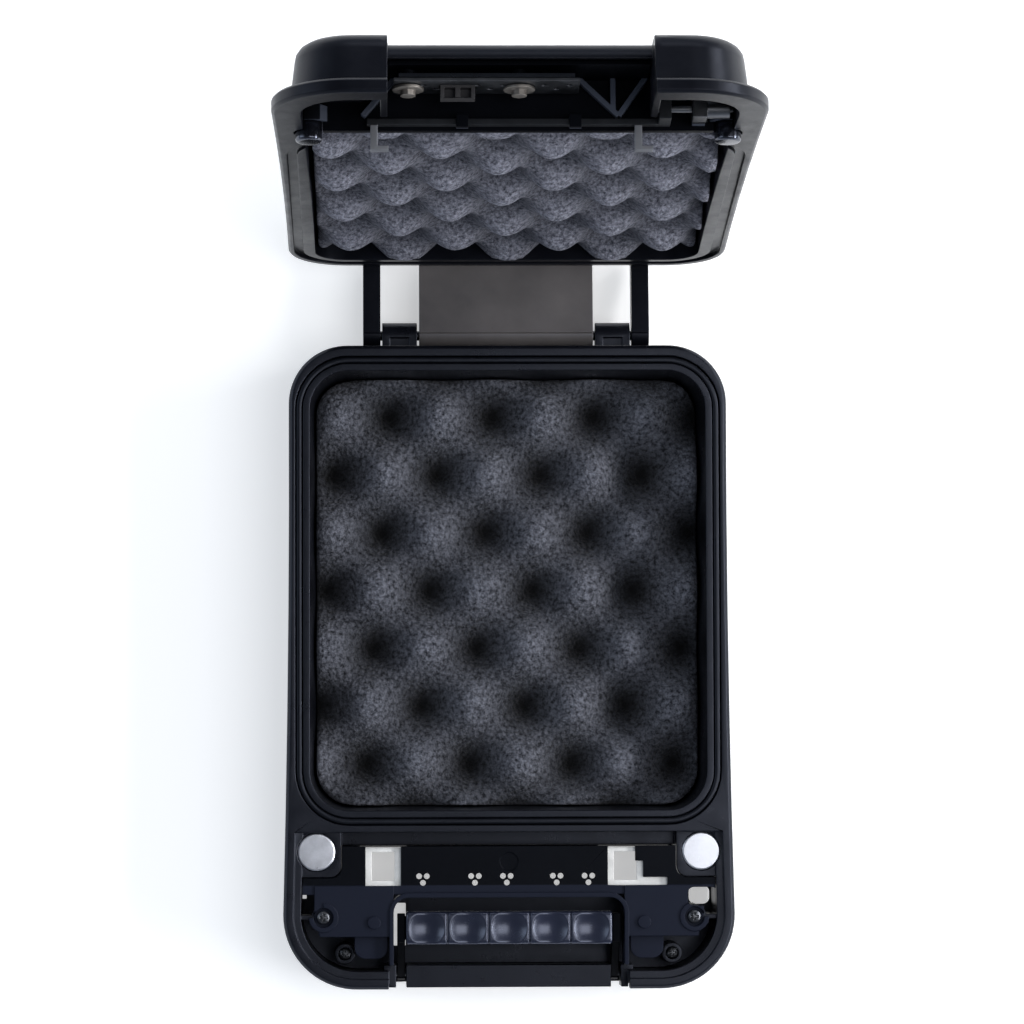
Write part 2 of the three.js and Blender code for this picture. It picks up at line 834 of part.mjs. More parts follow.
  // front ledge that carries the handle's pins, with a slot for each arm
  const ledgeFront = frontY + frontLedgeSetback;
  added.push(
    block(
      -housingHalfWidth - housingWall,
      housingHalfWidth + housingWall,
      frontY + bodyInset + wallThickness - fitGap,
      frontY + frontLedgeWidth + frontLedgeSetback,
      floorThickness - fitGap,
      frontLedgeHeight,
    ),
    block(
      -housingHalfWidth,
      housingHalfWidth,
      ledgeFront,
      frontY + frontLedgeWidth + frontLedgeSetback,
      frontLedgeFoot,
      frontLedgeHeight,
    ),
  );
  removed.push(
    block(-housingHalfWidth, housingHalfWidth, frontY - overrun, housingRearY, frontLedgeHeight, above),
    block(-housingHalfWidth, housingHalfWidth, frontY - overrun, ledgeFront, -overrun, above),
  );
  for (const { side } of sides) {
    const slotHalf = handleArmThickness / 2 + handleSlotGap;
    const x = side * handleArmSide;
    const ledgeRear = frontY + frontLedgeWidth + frontLedgeSetback;
    const slotFloor = handlePivotHeight - handleArmWidth / 2 - handleSlotGap;
    removed.push(block(x - slotHalf, x + slotHalf, frontY - overrun, ledgeRear + overrun, slotFloor, above));
    const pinInner = x - (handleArmThickness / 2 + overrun);
    const pinOuter = x + (handleArmThickness / 2 + overrun);
    const pinBore = handlePinRadius + fitGap;
    removed.push(shaft(pinBore, pinInner, pinOuter, handlePivotY, handlePivotHeight, screwSides));
    removed.push(
      post(footRadius + fitGap, side * footSide, rearY - footFromEnd, -overrun, footRecess),
      post(footRadius + fitGap, side * footSide, frontY + footFromEnd, -overrun, footRecess),
    );
  }
  // floor openings under the three-lobed row, beside the handle and at the corners
  const rowEnd = lobeSides[lobeSides.length - 1] + lobeSpread + floorWindowMargin;
  const rowStart = lobeSides[0] - lobeSpread - floorWindowMargin;
  const rowHalf = lobeSpread + lobeRadius + floorWindowMargin;
  removed.push(
    block(rowStart, rowEnd, lobeY - rowHalf, lobeY + rowHalf, -overrun, floorThickness + fitGap),
    block(
      housingWall - housingHalfWidth,
      housingWall - housingHalfWidth + drainWidth,
      gripY - drainFront,
      gripY + drainRear,
      -overrun,
      floorThickness + fitGap,
    ),
    block(
      cornerDrainFromSide - frontHalf,
      cornerDrainFromSide + cornerDrainWidth - frontHalf,
      cornerOpeningRear - cornerDrainLength,
      cornerOpeningRear,
      -overrun,
      floorThickness + fitGap,
    ),
    raise(cornerOpening(cornerOpeningFloorShift), -overrun, floorThickness + fitGap),
  );
  body = cut(union([body, ...added]), removed);
  return body;
}

/** Rubber seal round the cavity, a loop of square section with a low crown. */
function rimGasket() {
  const inner = sealOffset + fitGap;
  const outer = sealOffset + sealGrooveWidth - fitGap;
  const bottom = baseHeight - sealGrooveDepth + fitGap;
  const crown = baseHeight - sealStandDown;
  const lower = sealRing(inner, outer, bottom, crown - sealStandDown);
  const upper = sealRing(inner + sealStandDown, outer - sealStandDown, crown - 2 * sealStandDown, crown);
  return lower.add(upper);
}

/** The upright wall that lines the handle's well, open in front, with round rear corners. */
function housingWalls(z0, z1) {
  const front = frontY + frontLedgeWidth + frontLedgeSetback + fitGap;
  const length = housingRearY - front + 2 * housingCornerRadius;
  const middle = housingRearY - length / 2;
  const outer = raise(
    roundRectangle(2 * housingHalfWidth - 2 * fitGap, length, housingCornerRadius, 0, middle),
    z0,
    z1,
  );
  const inner = raise(
    roundRectangle(
      2 * (housingHalfWidth - housingWall),
      length - 2 * housingWall,
      housingCornerRadius - housingWall,
      0,
      middle,
    ),
    z0 - overrun,
    z1 + overrun,
  );
  const ahead = block(-frontWidth, frontWidth, frontY - caseLength, front, z0 - overrun, z1 + overrun);
  return { ring: outer.subtract(inner).subtract(ahead), hole: outer.subtract(ahead) };
}

/** Deck over the front compartment, one moulding with the handle's housing. */
function latchDeck() {
  const rear = dividerY - trenchWidth - fitGap;
  const front = rear - deckWingReach;
  const plan = caseLoft([
    [compartmentInset + fitGap, deckBottom],
    [compartmentInset + fitGap, deckTop],
  ]);
  const strip = block(-frontWidth, frontWidth, rear - deckStripWidth, rear, deckBottom, deckTop);
  const wingTop = deckTop + deckWingRise;
  const wingRear = windowY - windowLength / 2;
  const wingPlan = caseLoft([
    [deckWingInset, deckBottom],
    [deckWingInset, wingTop],
  ]);
  const wings = sides.map(({ side }) =>
    union([
      block(side * (housingHalfWidth - housingWall), side * frontWidth, front, rear, deckBottom, deckTop),
      block(side * (housingHalfWidth - housingWall), side * frontWidth, front, wingRear, deckBottom, wingTop),
    ]),
  );
  let deck = union([strip.intersect(plan), union(wings).intersect(wingPlan)]);
  const { ring, hole } = housingWalls(deckTop - housingDepth, deckTop + housingRise);
  deck = deck.subtract(hole).add(ring);
  const removed = [];
  const added = [];
  for (const { side } of sides) {
    removed.push(raise(pillarShape(side, fitGap), deckBottom - overrun, deckTop + overrun));
    removed.push(windowCut(side, deckBottom - overrun, deckTop + overrun));
    // lower step plate in front of the wing, with a round outer corner
    const stepX = side * (deckStepInnerEdge + deckStepWidth / 2);
    const stepShape = roundRectangle(deckStepWidth, 2 * deckStepReach, deckStepReach / 2, stepX, front);
    const stepBody = raise(stepShape, deckBottom - deckStepDrop, deckTop - deckStepDrop);
    const joint = block(
      side * deckStepInnerEdge,
      side * deckStepOuterEdge,
      front,
      front + deckStepReach,
      deckBottom - deckStepDrop,
      deckBottom + fitGap,
    );
    added.push(stepBody, joint);
    // collar round the deck screw, open towards the side wall
    const x = side * deckScrewSide;
    const collarTop = deckTop + deckBossHeight;
    const collar = post(deckBossRadius + ribThickness / 2, x, screwY, deckTop - fitGap, collarTop);
    const bore = post(deckBossRadius - ribThickness / 2, x, screwY, deckBottom - overrun, baseHeight);
    const gapEndX = x + side * 2 * deckBossRadius;
    const gapEndY = screwY + 2 * deckBossRadius;
    const mouth = block(x, gapEndX, screwY, gapEndY, deckBottom, baseHeight);
    const inside = caseLoft([
      [compartmentInset + fitGap, deckBottom],
      [compartmentInset + fitGap, baseHeight],
    ]);
    added.push(cut(collar, [bore, mouth]).intersect(inside));
    const screwHole = deckScrewRadius / 2 + fitGap;
    removed.push(post(screwHole, x, screwY, deckBottom - overrun, deckTop + overrun, screwSides));
    const boreRadius = deckBossRadius - ribThickness / 2;
    removed.push(post(boreRadius, x, screwY, deckTop - deckSeatDepth, baseHeight));
    const studY = dividerY - deckStudFromDivider;
    const studTop = wingTop + deckStudHeight;
    added.push(post(deckStudRadius, side * deckStudSide, studY, deckTop - fitGap, studTop));
  }
  for (const x of lobeSides) {
    removed.push(...lobes(x, lobeY, deckBottom - overrun, deckTop + overrun));
  }
  // shallow round mark in the middle of the strip
  const markY = dividerY - deckMarkFromDivider;
  removed.push(post(deckMarkRadius, 0, markY, deckTop - deckMarkDepth, baseHeight));
  // corner opening on the right
  removed.push(raise(cornerOpening(0), deckBottom - overrun, deckTop + overrun));
  return cut(union([deck, ...added]), removed);
}

/** Bright keeper plate under a window, with the hole that the hook enters. */
function strikePlate(side) {
  const x = windowX(side);
  const edge = side > 0 ? pillarInnerEdge - fitGap : x + windowWidth / 2 + strikeMargin;
  const plate = block(
    x - windowWidth / 2 - strikeMargin,
    edge,
    windowY - windowLength / 2 - strikeMargin,
    windowY + windowLength / 2 - fitGap,
    strikeBottom,
    strikeTop,
  );
  const hole = block(
    x - strikeHoleWidth / 2,
    x + strikeHoleWidth / 2,
    windowY - strikeHoleLength / 2,
    windowY + strikeHoleLength / 2,
    strikeBottom - overrun,
    strikeTop + overrun,
  );
  return plate.subtract(hole);
}

/** Pan-head screw with a shank and a cross recess. */
function panScrew(x, y, seatZ, radius, height, shank) {
  const head = post(radius, x, y, seatZ, seatZ + height, screwSides);
  const stem = post(radius * screwStemShare, x, y, seatZ - shank, seatZ + height / 2, screwSides);
  const arm = radius * crossArmShare;
  const reach = radius * crossReachShare;
  const floor = seatZ + height * crossDepthShare;
  const crossA = block(x - reach, x + reach, y - arm, y + arm, floor, seatZ + height + overrun);
  const crossB = block(x - arm, x + arm, y - reach, y + reach, floor, seatZ + height + overrun);
  return cut(head.add(stem), [crossA, crossB]);
}

/** Handle bar: a core under the grip and two arms with eyes on the pivot pins. */
function handleBar() {
  const coreHalfLength = handleArmSide + handleArmThickness / 2;
  const coreBottom = gripHeight - gripThickness / 2;
  const core = block(
    -coreHalfLength,
    coreHalfLength,
    gripY - gripWidth / 2 + gripWall + fitGap,
    gripY + gripWidth / 2 - gripWall - fitGap,
    coreBottom,
    gripHeight + gripThickness / 2 - gripWall - padDishDepth - fitGap,
  );
  const parts = [core];
  for (const { side } of sides) {
    const x0 = side * (handleArmSide - handleArmThickness / 2);
    const x1 = side * (handleArmSide + handleArmThickness / 2);
    const half = handleArmWidth / 2;
    const rise = new THREE.Vector2(gripY - handlePivotY, coreBottom - handlePivotHeight).normalize();
    const across = new THREE.Vector2(-rise.y, rise.x).multiplyScalar(half);
    const arm = polygon([
      [handlePivotY + across.x, handlePivotHeight + across.y],
      [handlePivotY - across.x, handlePivotHeight - across.y],
      [gripY - across.x, coreBottom - across.y],
      [gripY + half, coreBottom + half],
      [gripY - half, coreBottom + half],
      [gripY + across.x, coreBottom + across.y],
    ]);
    const plate = block(
      x0,
      x1,
      gripY - handleArmPlateWidth / 2,
      gripY + handleArmPlateWidth / 2,
      coreBottom,
      gripHeight + gripThickness / 2 - handleArmPlateDrop,
    );
    parts.push(carry(arm, x0, x1), plate, shaft(half, x0, x1, handlePivotY, handlePivotHeight));
  }
  const eyes = sides.map(({ side }) => {
    const reach = handleArmSide + handleArmThickness;
    return shaft(
      handlePinRadius + fitGap,
      side * (handleArmSide - handleArmThickness),
      side * reach,
      handlePivotY,
      handlePivotHeight,
      screwSides,
    );
  });
  return cut(union(parts), eyes);
}

/** Rubber grip moulded over the bar: chamfered, with a row of dished pads. */
function handleGrip() {
  const bottom = gripHeight - gripThickness / 2;
  const top = gripHeight + gripThickness / 2;
  const half = gripWidth / 2;
  const profile = polygon([
    [gripY - half, bottom],
    [gripY + half, bottom],
    [gripY + half, top - gripChamfer],
    [gripY + half - gripChamfer, top],
    [gripY - half + gripChamfer, top],
    [gripY - half, top - gripChamfer],
  ]);
  const plan = polygon([
    [-gripLength / 2, gripY - half + gripEndChamfer],
    [gripEndChamfer - gripLength / 2, gripY - half],
    [gripLength / 2 - gripEndChamfer, gripY - half],
    [gripLength / 2, gripY - half + gripEndChamfer],
    [gripLength / 2, gripY + half - gripEndChamfer],
    [gripLength / 2 - gripEndChamfer, gripY + half],
    [gripEndChamfer - gripLength / 2, gripY + half],
    [-gripLength / 2, gripY + half - gripEndChamfer],
  ]);
  const ends = raise(plan, bottom - overrun, top + overrun);
  const body = carry(profile, -gripLength / 2, gripLength / 2).intersect(ends);
  const coreHalf = handleArmSide + handleArmThickness / 2 + fitGap;
  const channel = block(
    -coreHalf,
    coreHalf,
    gripY - half + gripWall,
    gripY + half - gripWall,
    bottom - overrun,
    top - gripWall - padDishDepth,
  );
  const removed = [channel];
  for (let pad = 0; pad < padCount; pad += 1) {
    const x = (pad - (padCount - 1) / 2) * padPitch;
    removed.push(dish(padDishRadius, padDishDepth, x, gripY, top));
    if (pad > 0) {
      const grooveX = x - padPitch / 2;
      removed.push(
        block(
          grooveX - padGrooveWidth / 2,
          grooveX + padGrooveWidth / 2,
          gripY - gripWidth,
          gripY + gripWidth,
          top - padGrooveDepth,
          top + overrun,
        ),
      );
    }
  }
  return cut(body, removed);
}

/** Egg-crate pad on a flat back: staggered bumps and hollows, cut to the well that holds it. */
function eggCrate(plan, crate, well) {
  const { width, length, x, y } = plan;
  const { backZ, direction, thickness, waveHeight, crestX, crestY, lean } = crate;
  const across = foamStepsAcross;
  const along = foamStepsAlong;
  const positions = [];
  const index = [];
  const surface = (px, py) => {
    const alongTurns = (py - crestY) / foamPitchAlong;
    const acrossTurns = (px - crestX - lean * (py - crestY)) / foamPitchAcross;
    const wave = Math.cos(2 * Math.PI * acrossTurns) * Math.cos(2 * Math.PI * alongTurns);
    return backZ + direction * (thickness - (waveHeight / 2) * (1 - wave));
  };
  for (let row = 0; row <= along; row += 1) {
    for (let column = 0; column <= across; column += 1) {
      const px = x + (column / across - 1 / 2) * width;
      const py = y + (row / along - 1 / 2) * length;
      positions.push(px, py, surface(px, py));
    }
  }
  const at = (column, row) => row * (across + 1) + column;
  const face = (a, b, c) => index.push(a, direction > 0 ? b : c, direction > 0 ? c : b);
  for (let row = 0; row < along; row += 1) {
    for (let column = 0; column < across; column += 1) {
      const a = at(column, row);
      const b = at(column + 1, row);
      const c = at(column + 1, row + 1);
      const d = at(column, row + 1);
      face(a, b, c);
      face(a, c, d);
    }
  }
  const border = [];
  for (let column = 0; column < across; column += 1) {
    border.push(at(column, 0));
  }
  for (let row = 0; row < along; row += 1) {
    border.push(at(across, row));
  }
  for (let column = across; column > 0; column -= 1) {
    border.push(at(column, along));
  }
  for (let row = along; row > 0; row -= 1) {
    border.push(at(0, row));
  }
  const firstBack = positions.length / 3;
  for (const point of border) {
    positions.push(positions[3 * point], positions[3 * point + 1], backZ);
  }
  const middle = positions.length / 3;
  positions.push(x, y, backZ);
  border.forEach((point, i) => {
    const next = (i + 1) % border.length;
    const back = firstBack + i;
    const backNext = firstBack + next;
    face(point, back, backNext);
    face(point, backNext, border[next]);
    face(middle, backNext, back);
  });
  const geometry = new THREE.BufferGeometry();
  geometry.setAttribute("position", new THREE.Float32BufferAttribute(positions, 3));
  geometry.setIndex(index);
  return solid(geometry).intersect(well);
}

const baseFoamBottom = floorThickness + fitGap;

/** The base pad's well: the cavity drawn in by a small gap, following its draft. */
function baseFoamWell() {
  const inset = 2 * foamGap;
  const shrink = 2 * cavityDraft + inset;
  const radius = cavityCornerRadius - cavityDraft - foamGap;
  return cavityLoft(
    [
      [cavityWidth - shrink, cavityLength - shrink, radius, floorThickness],
      [cavityWidth - inset, cavityLength - inset, cavityCornerRadius - foamGap, baseHeight],
    ],
    0,
    cavityMiddleY,
  );
}

/** Lid shell: flange, inset cap with a rolled edge, front notch, hinge arms and keypad recess. */
function lidShell() {
  const capSide = lidBottom + lidFlangeHeight;
  const roundStart = lidTop - lidCrownRise - lidCapRound;
  const rings = [
    [lidFlangeRound, lidBottom],
    [0, lidBottom + lidFlangeRound],
    [0, capSide - lidFlangeRound],
    [lidFlangeRound, capSide],
    [lidCapInset, capBottom],
  ];
  const capEdge = lidCapInset + lidCapDraft;
  for (let step = 0; step <= capRoundSteps; step += 1) {
    const angle = (step / capRoundSteps) * (Math.PI / 2);
    rings.push([capEdge + lidCapRound * (1 - Math.cos(angle)), roundStart + lidCapRound * Math.sin(angle)]);
  }
  rings.push([lidCrownInset, lidTop]);
  const outer = caseLoft(rings);
  const inner = lidWell(0, lidBottom - overrun);

  const notchFloor = lidBottom - overrun;
  const notchTop = lidTop + overrun;
  const notch = block(-notchHalfWidth, notchHalfWidth, frontY - overrun, notchY, notchFloor, notchTop);
  const lipZ = lidTop - notchLipRadius;
  const lipShape = new THREE.Shape();
  const lipInner = notchLipRadius - wallThickness;
  lipShape.absarc(notchY, lipZ - lidCrownRise / 2, notchLipRadius, Math.PI / 2, Math.PI);
  lipShape.absarc(notchY, lipZ - lidCrownRise / 2, lipInner, Math.PI, Math.PI / 2, true);
  const lip = carry(lipShape, -notchHalfWidth - fitGap, notchHalfWidth + fitGap);
  const cheeks = sides.map(({ side }) =>
    block(
      side * notchHalfWidth,
      side * (notchHalfWidth + wallThickness),
      frontY,
      slideFrontY - latchTravel,
      lidBottom + postDrop,
      lidTop,
    ).intersect(outer),
  );
  let body = cut(outer, [inner]).add(union(cheeks)).subtract(notch).add(lip);

  const added = [];
  const sealOuter = sealOffset + sealGrooveWidth + fitGap;
  const removed = [
    sealRing(sealOffset - fitGap, sealOuter, lidBottom - overrun, lidBottom + lidSealDepth),
  ];
  for (const { side } of sides) {
    const x0 = side * (knuckleInnerSide + knuckleWidth + hingeSideGap);
    const x1 = x0 + side * armWidth;
    const armFront = rearY + fitGap;
    const armRear = hingeY + hingeBarrelRadius;
    added.push(
      shaft(hingeBarrelRadius, x0, x1, hingeY, hingeZ),
      block(x0, x1, armFront, armRear, hingeZ, capSide - lidFlangeRound),
      block(x0, x1, rearY - wallThickness, armRear, lidBottom + lidFlangeRound, capSide - lidFlangeRound),
    );
    removed.push(
      shaft(hingePinRadius + fitGap, x0 - side * overrun, x1 + side * overrun, hingeY, hingeZ),
    );
  }
  removed.push(...postWells());
  // keypad recess, the wells under the buttons and the lock's bore
  const recessZ = lidTop + keypadStandProud - keypadThickness - fitGap;
  removed.push(
    raise(
      roundRectangle(keypadLength + 2 * fitGap, keypadWidth + 2 * fitGap, keypadCornerRadius, 0, keypadY),
      recessZ,
      notchTop,
    ),
    post(lockRadius + fitGap, lockSide, lockY, capInnerTop - overrun, notchTop),
    post(lockFlangeRadius + fitGap, lockSide, lockY, lidTop - lockFlangeHeight, notchTop),
  );
  const roomSize = buttonSize + 2 * fitGap;
  for (let i = 0; i < buttonCount; i += 1) {
    removed.push(
      raise(
        roundRectangle(roomSize, roomSize, buttonCornerRadius, buttonX(i), keypadY),
        buttonBottom - buttonTravel - fitGap,
        notchTop,
      ),
    );
  }
  return cut(union([body, ...added]), removed);
}

const keypadTop = lidTop + keypadStandProud;
const buttonTop = keypadTop + buttonTravel + fitGap;
const buttonBottom = buttonTop - buttonHeight;
const buttonX = (i) => (i - (buttonCount - 1) / 2) * buttonPitch;

/** Centre flap of the hinge: a satin plate with side ribs and a barrel along its lower edge. */
function hingeFlap() {
  const front = rearY + fitGap;
  const top = lidBottom + lidFlangeHeight - lidFlangeRound;
  const plate = block(-flapHalfWidth, flapHalfWidth, front, front + flapThickness, hingeZ, top);
  const barrel = shaft(hingeBarrelRadius, -flapHalfWidth, flapHalfWidth, hingeY, hingeZ);
  const web = block(
    -flapHalfWidth,
    flapHalfWidth,
    front,
    hingeY,
    hingeZ,
    hingeZ + hingeBarrelRadius - fitGap,
  );
  const bores = sides.map(({ side }) =>
    shaft(
      hingePinRadius + fitGap,
      side * (flapHalfWidth - hingePinGrip),
      side * (flapHalfWidth + overrun),
      hingeY,
      hingeZ,
    ),
  );
  const ribs = sides.map(({ side }) =>
    block(
      side * (flapHalfWidth - flapRibThickness),
      side * flapHalfWidth,
      front,
      front + flapThickness + flapRibHeight,
      hingeZ,
      top,
    ),
  );
  return cut(union([plate, barrel, web, ...ribs]), bores);
}

/** A flat rib between two points of the bay, drawn in X and Z, standing off the cross wall. */
function bayRib(x0, z0, x1, z1, y0, y1) {
  const along = new THREE.Vector2(x1 - x0, z1 - z0).normalize();
  const across = new THREE.Vector2(-along.y, along.x).multiplyScalar(ribThickness / 2);
  const shape = polygon([
    [x0 + across.x, z0 + across.y],
    [x1 + across.x, z1 + across.y],
    [x1 - across.x, z1 - across.y],
    [x0 - across.x, z0 - across.y],
  ]);
  const options = { depth: y1 - y0, bevelEnabled: false };
  const geometry = new THREE.ExtrudeGeometry(shape, options);
  geometry.rotateX(Math.PI / 2);
  geometry.translate(0, y1, 0);
  return solid(geometry);
}

/** The hollow of the lid, drawn in by a gap. */
function lidWell(gap, bottom) {
  return caseLoft([
    [lidLandInset + gap, bottom],
    [lidLandInset + gap, lidTop - lidCrownRise - lidCapRound],
    [lidCapInset + lidCapDraft + lidCapRound + gap, capInnerTop - (gap > 0 ? fitGap : 0)],
  ]);
}

/** Round room for the closing posts. */
function postWells() {
  return sides.map(({ side }) =>
    post(
      postRadius + 2 * fitGap,
      side * discSide,
      discY,
      lidBottom - overrun,
      pillarTop + postHeight + 2 * fitGap,
    ),
  );
}

/** Bay frame: cross wall, cover plate, the V of ribs, struts and corner ribs. */
function bayFrame() {
  const top = capInnerTop - fitGap;
  const bottom = lidBottom + fitGap;
  const halfWidth = frontWidth / 2 - lidLandInset - sideWaist - fitGap;
  const plateTop = top - bayPlateDrop;
  const wallBody = block(-halfWidth, halfWidth, bayWallFrontY, bayWallRearY, bottom, top);
  const plate = block(
    -notchHalfWidth + fitGap,
    notchHalfWidth - fitGap,
    notchY + wallThickness,
    bayWallFrontY + fitGap,
    plateTop - bayPlateThickness,
    plateTop,
  );
  const y0 = bayWallFrontY - ribDepth;
  const y1 = bayWallFrontY + fitGap;
  const high = plateTop - bayPlateThickness / 2;
  const low = bottom + ribFootHeight;
  const ribs = [
    bayRib(ribLeftSide, high, ribPeakSide, low, y0, y1),
    bayRib(ribRightSide, high, ribPeakSide, low, y0, y1),
    bayRib(ribPeakSide - ribThickness, high, ribPeakSide - ribThickness, low + ribThickness, y0, y1),
    bayRib(-strutInnerSide, high, -strutOuterSide, low, y0, y1),
    bayRib(cornerRibSide, high, cornerRibSide, low, y0, y1),
  ];
  // guides that hold the slide to the wall's foot, and half a boss round each closing post
  const guideFront = slideFrontY - fitGap;
  const guideLip = slideFrontY + slideWidth * guideReachShare;
  const guideTop = slideTop + fitGap;
  const guides = sides.flatMap(({ side }) => {
    const x0 = side * guideSide;
    const x1 = side * (guideSide - guideWidth);
    return [
      block(x0, x1, guideFront - guideThickness, guideFront, bottom, guideTop + guideThickness),
      block(x0, x1, guideFront - guideThickness, y1, guideTop, guideTop + guideThickness),
      block(x0, x1, guideFront - guideThickness, guideLip, bottom, slideBottom - fitGap),
    ];
  });
  const bossFoot = lidBottom + postBossRise;
  const bossTop = bossFoot + postBossHeight;
  const bosses = sides.map(({ side }) =>
    post(postBossRadius, side * discSide, discY, bossFoot, bossTop).intersect(
      block(-frontWidth, frontWidth, frontY, bayWallRearY, lidBottom, top),
    ),
  );
  // seat under the motor's gearbox
  const seat = block(
    motorSide + 2 * fitGap,
    motorSide + gearboxLength,
    screwAxisY + gearboxSize / 2 + fitGap,
    y1,
    screwAxisZ - gearboxSize / 2,
    screwAxisZ + gearboxSize / 2,
  );
  // pillars that the chassis is screwed to
  const pillarFoot = chassisZ + chassisThickness + fitGap;
  const pillars = washerScrewSides.map((x) => post(worksPillarRadius, x, washerY, pillarFoot, high));
  const frame = union([wallBody, plate, ...ribs, ...guides, ...bosses, ...pillars, seat]);
  return cut(frame.intersect(lidWell(fitGap, bottom)), postWells());
}

/** Glossy post that meets the closing disc when the lid is shut. */
function closingPost(side) {
  const tip = pillarTop + fitGap;
  const foot = tip + postHeight - fitGap;
  const cutBack = postTipRound * (1 - Math.SQRT1_2);
  const profile = [
    new THREE.Vector2(0, tip),
    new THREE.Vector2(postRadius - postTipRound, tip),
    new THREE.Vector2(postRadius - cutBack, tip + cutBack),
    new THREE.Vector2(postRadius, tip + postTipRound),
    new THREE.Vector2(postRadius, foot),
    new THREE.Vector2(0, foot),
  ];
  const geometry = new THREE.LatheGeometry(profile, smoothSides);
  geometry.rotateX(Math.PI / 2);
  geometry.translate(side * discSide, discY, 0);
  return solid(geometry);
}

/** Works chassis: a steel plate across the bay with three groups of small staggered holes. */
function latchChassis() {
  const rear = bayWallFrontY - ribDepth - fitGap;
  const front = notchY + wallThickness;
  const top = chassisZ + chassisThickness;
  const right = chassisHalfWidth * chassisRightShare;
  const plate = block(-chassisHalfWidth, right, front, rear, chassisZ, top);
  const removed = [];
  for (const run of chassisHoleRuns) {
    for (let i = 0; i < chassisHoleCount; i += 1) {
      const x = chassisHalfWidth * run + i * chassisHolePitch;
      const y = washerY + (i % 2 ? chassisHoleStagger : -chassisHoleStagger) / 2;
      removed.push(post(chassisHoleRadius, x, y, chassisZ - overrun, chassisZ + overrun, screwSides));
    }
  }
  for (const x of washerScrewSides) {
    const bore = washerRadius * washerStemShare + fitGap;
    removed.push(post(bore, x, washerY, chassisZ - overrun, chassisZ + overrun, screwSides));
  }
  removed.push(
    block(
      connectorSide - connectorWidth / 2 - fitGap,
      connectorSide + connectorWidth / 2 + fitGap,
      connectorY - connectorLength / 2 - fitGap,
      connectorY + connectorLength / 2 + fitGap,
      chassisZ - overrun,
      chassisZ + overrun,
    ),
  );
  return cut(plate, removed);
}

const washerY = (notchY + wallThickness + slideFrontY) / 2;
const connectorY = washerY;
const boardZ = chassisZ + chassisThickness + fitGap;

/** Washer-head screw under the chassis plate. */
function washerScrew(x) {
  const washerTop = chassisZ - fitGap;
  const washer = post(washerRadius, x, washerY, washerTop - washerThickness, washerTop);
  const headRadius = washerRadius * screwStemShare;
  const head = post(headRadius, x, washerY, washerTop - washerHeadRise, washerTop, screwSides);
  const stemRadius = washerRadius * washerStemShare;
  const stemTop = chassisZ + chassisThickness;
  const stem = post(stemRadius, x, washerY, washerTop - washerThickness, stemTop, screwSides);
  return union([washer, head, stem]);
}

/** Latch slide: a steel strip with two hooks and, at its right end, the nut of the lead screw. */
function latchSlide() {
  const strip = block(-slideEnd, slideEnd, slideFrontY, slideRearY, slideBottom, slideTop);
  const parts = [strip];
  const footTop = strikeBottom - fitGap;
  const footBottom = footTop - hookFootThickness;
  const hookFront = slideRearY - hookLength;
  for (const { side } of sides) {
    const neckLeft = windowX(side) - strikeHoleWidth / 2 + 2 * fitGap;
    const neckRight = neckLeft + hookNeckWidth;
    parts.push(
      block(neckLeft, neckRight, hookFront, slideRearY, footBottom, slideBottom + fitGap),
      block(neckLeft, neckRight + hookFootReach, hookFront, slideRearY, footBottom, footTop),
    );
  }
  const nutReach = screwRadius + nutWall;
  const nutLeft = slideEnd - nutWidth;
  parts.push(
    block(nutLeft, slideEnd, screwAxisY - nutReach, slideRearY, slideBottom, screwAxisZ + nutReach),
  );
  const boreRadius = screwRadius + fitGap;
  const bore = shaft(boreRadius, nutLeft - nutWidth, slideEnd + nutWidth, screwAxisY, screwAxisZ, screwSides);
  return union(parts).subtract(bore);
}

/** Gear motor: a square gearbox and a round can on the screw's axis. */
function lockMotor() {
  const start = motorSide + fitGap;
  const box = block(
    start,
    start + gearboxLength,
    screwAxisY - gearboxSize / 2,
    screwAxisY + gearboxSize / 2,
    screwAxisZ - gearboxSize / 2,
    screwAxisZ + gearboxSize / 2,
  );
  const canStart = start + gearboxLength;
  const canEnd = canStart + motorLength;
  const can = shaft(motorRadius, canStart, canEnd, screwAxisY, screwAxisZ);
  const tailRadius = motorRadius * motorTailShare;
  const tailEnd = canEnd + boardThickness;
  const tail = shaft(tailRadius, canStart, tailEnd, screwAxisY, screwAxisZ, screwSides);
  return union([box, can, tail]);
}

/** Keypad plate with a square hole for each button and a round one for the lens. */
function keypadPlate() {
  const bottom = keypadTop - keypadThickness;
  const plan = roundRectangle(keypadLength, keypadWidth, keypadCornerRadius, 0, keypadY);
  const plate = raise(plan, bottom, keypadTop);
  const lensHole = lensRadius + fitGap;
  const holes = [post(lensHole, lensSide, keypadY, bottom - overrun, keypadTop + overrun, screwSides)];
  for (let i = 0; i < buttonCount; i += 1) {
    const size = buttonSize + 2 * fitGap;
    const shape = roundRectangle(size, size, buttonCornerRadius, buttonX(i), keypadY);
    holes.push(raise(shape, bottom - overrun, keypadTop + overrun));
  }
  return cut(plate, holes);
}

/** One keypad button with a dished top. */
function keyButton(i) {
  const shape = roundRectangle(buttonSize, buttonSize, buttonCornerRadius, buttonX(i), keypadY);
  const body = raise(shape, buttonBottom, buttonTop);
  return body.subtract(dish(buttonSize * buttonDishShare, buttonDish, buttonX(i), keypadY, buttonTop));
}

const lockTop = lidTop + keypadStandProud;
const lockBottom = lockTop - lockDepth;

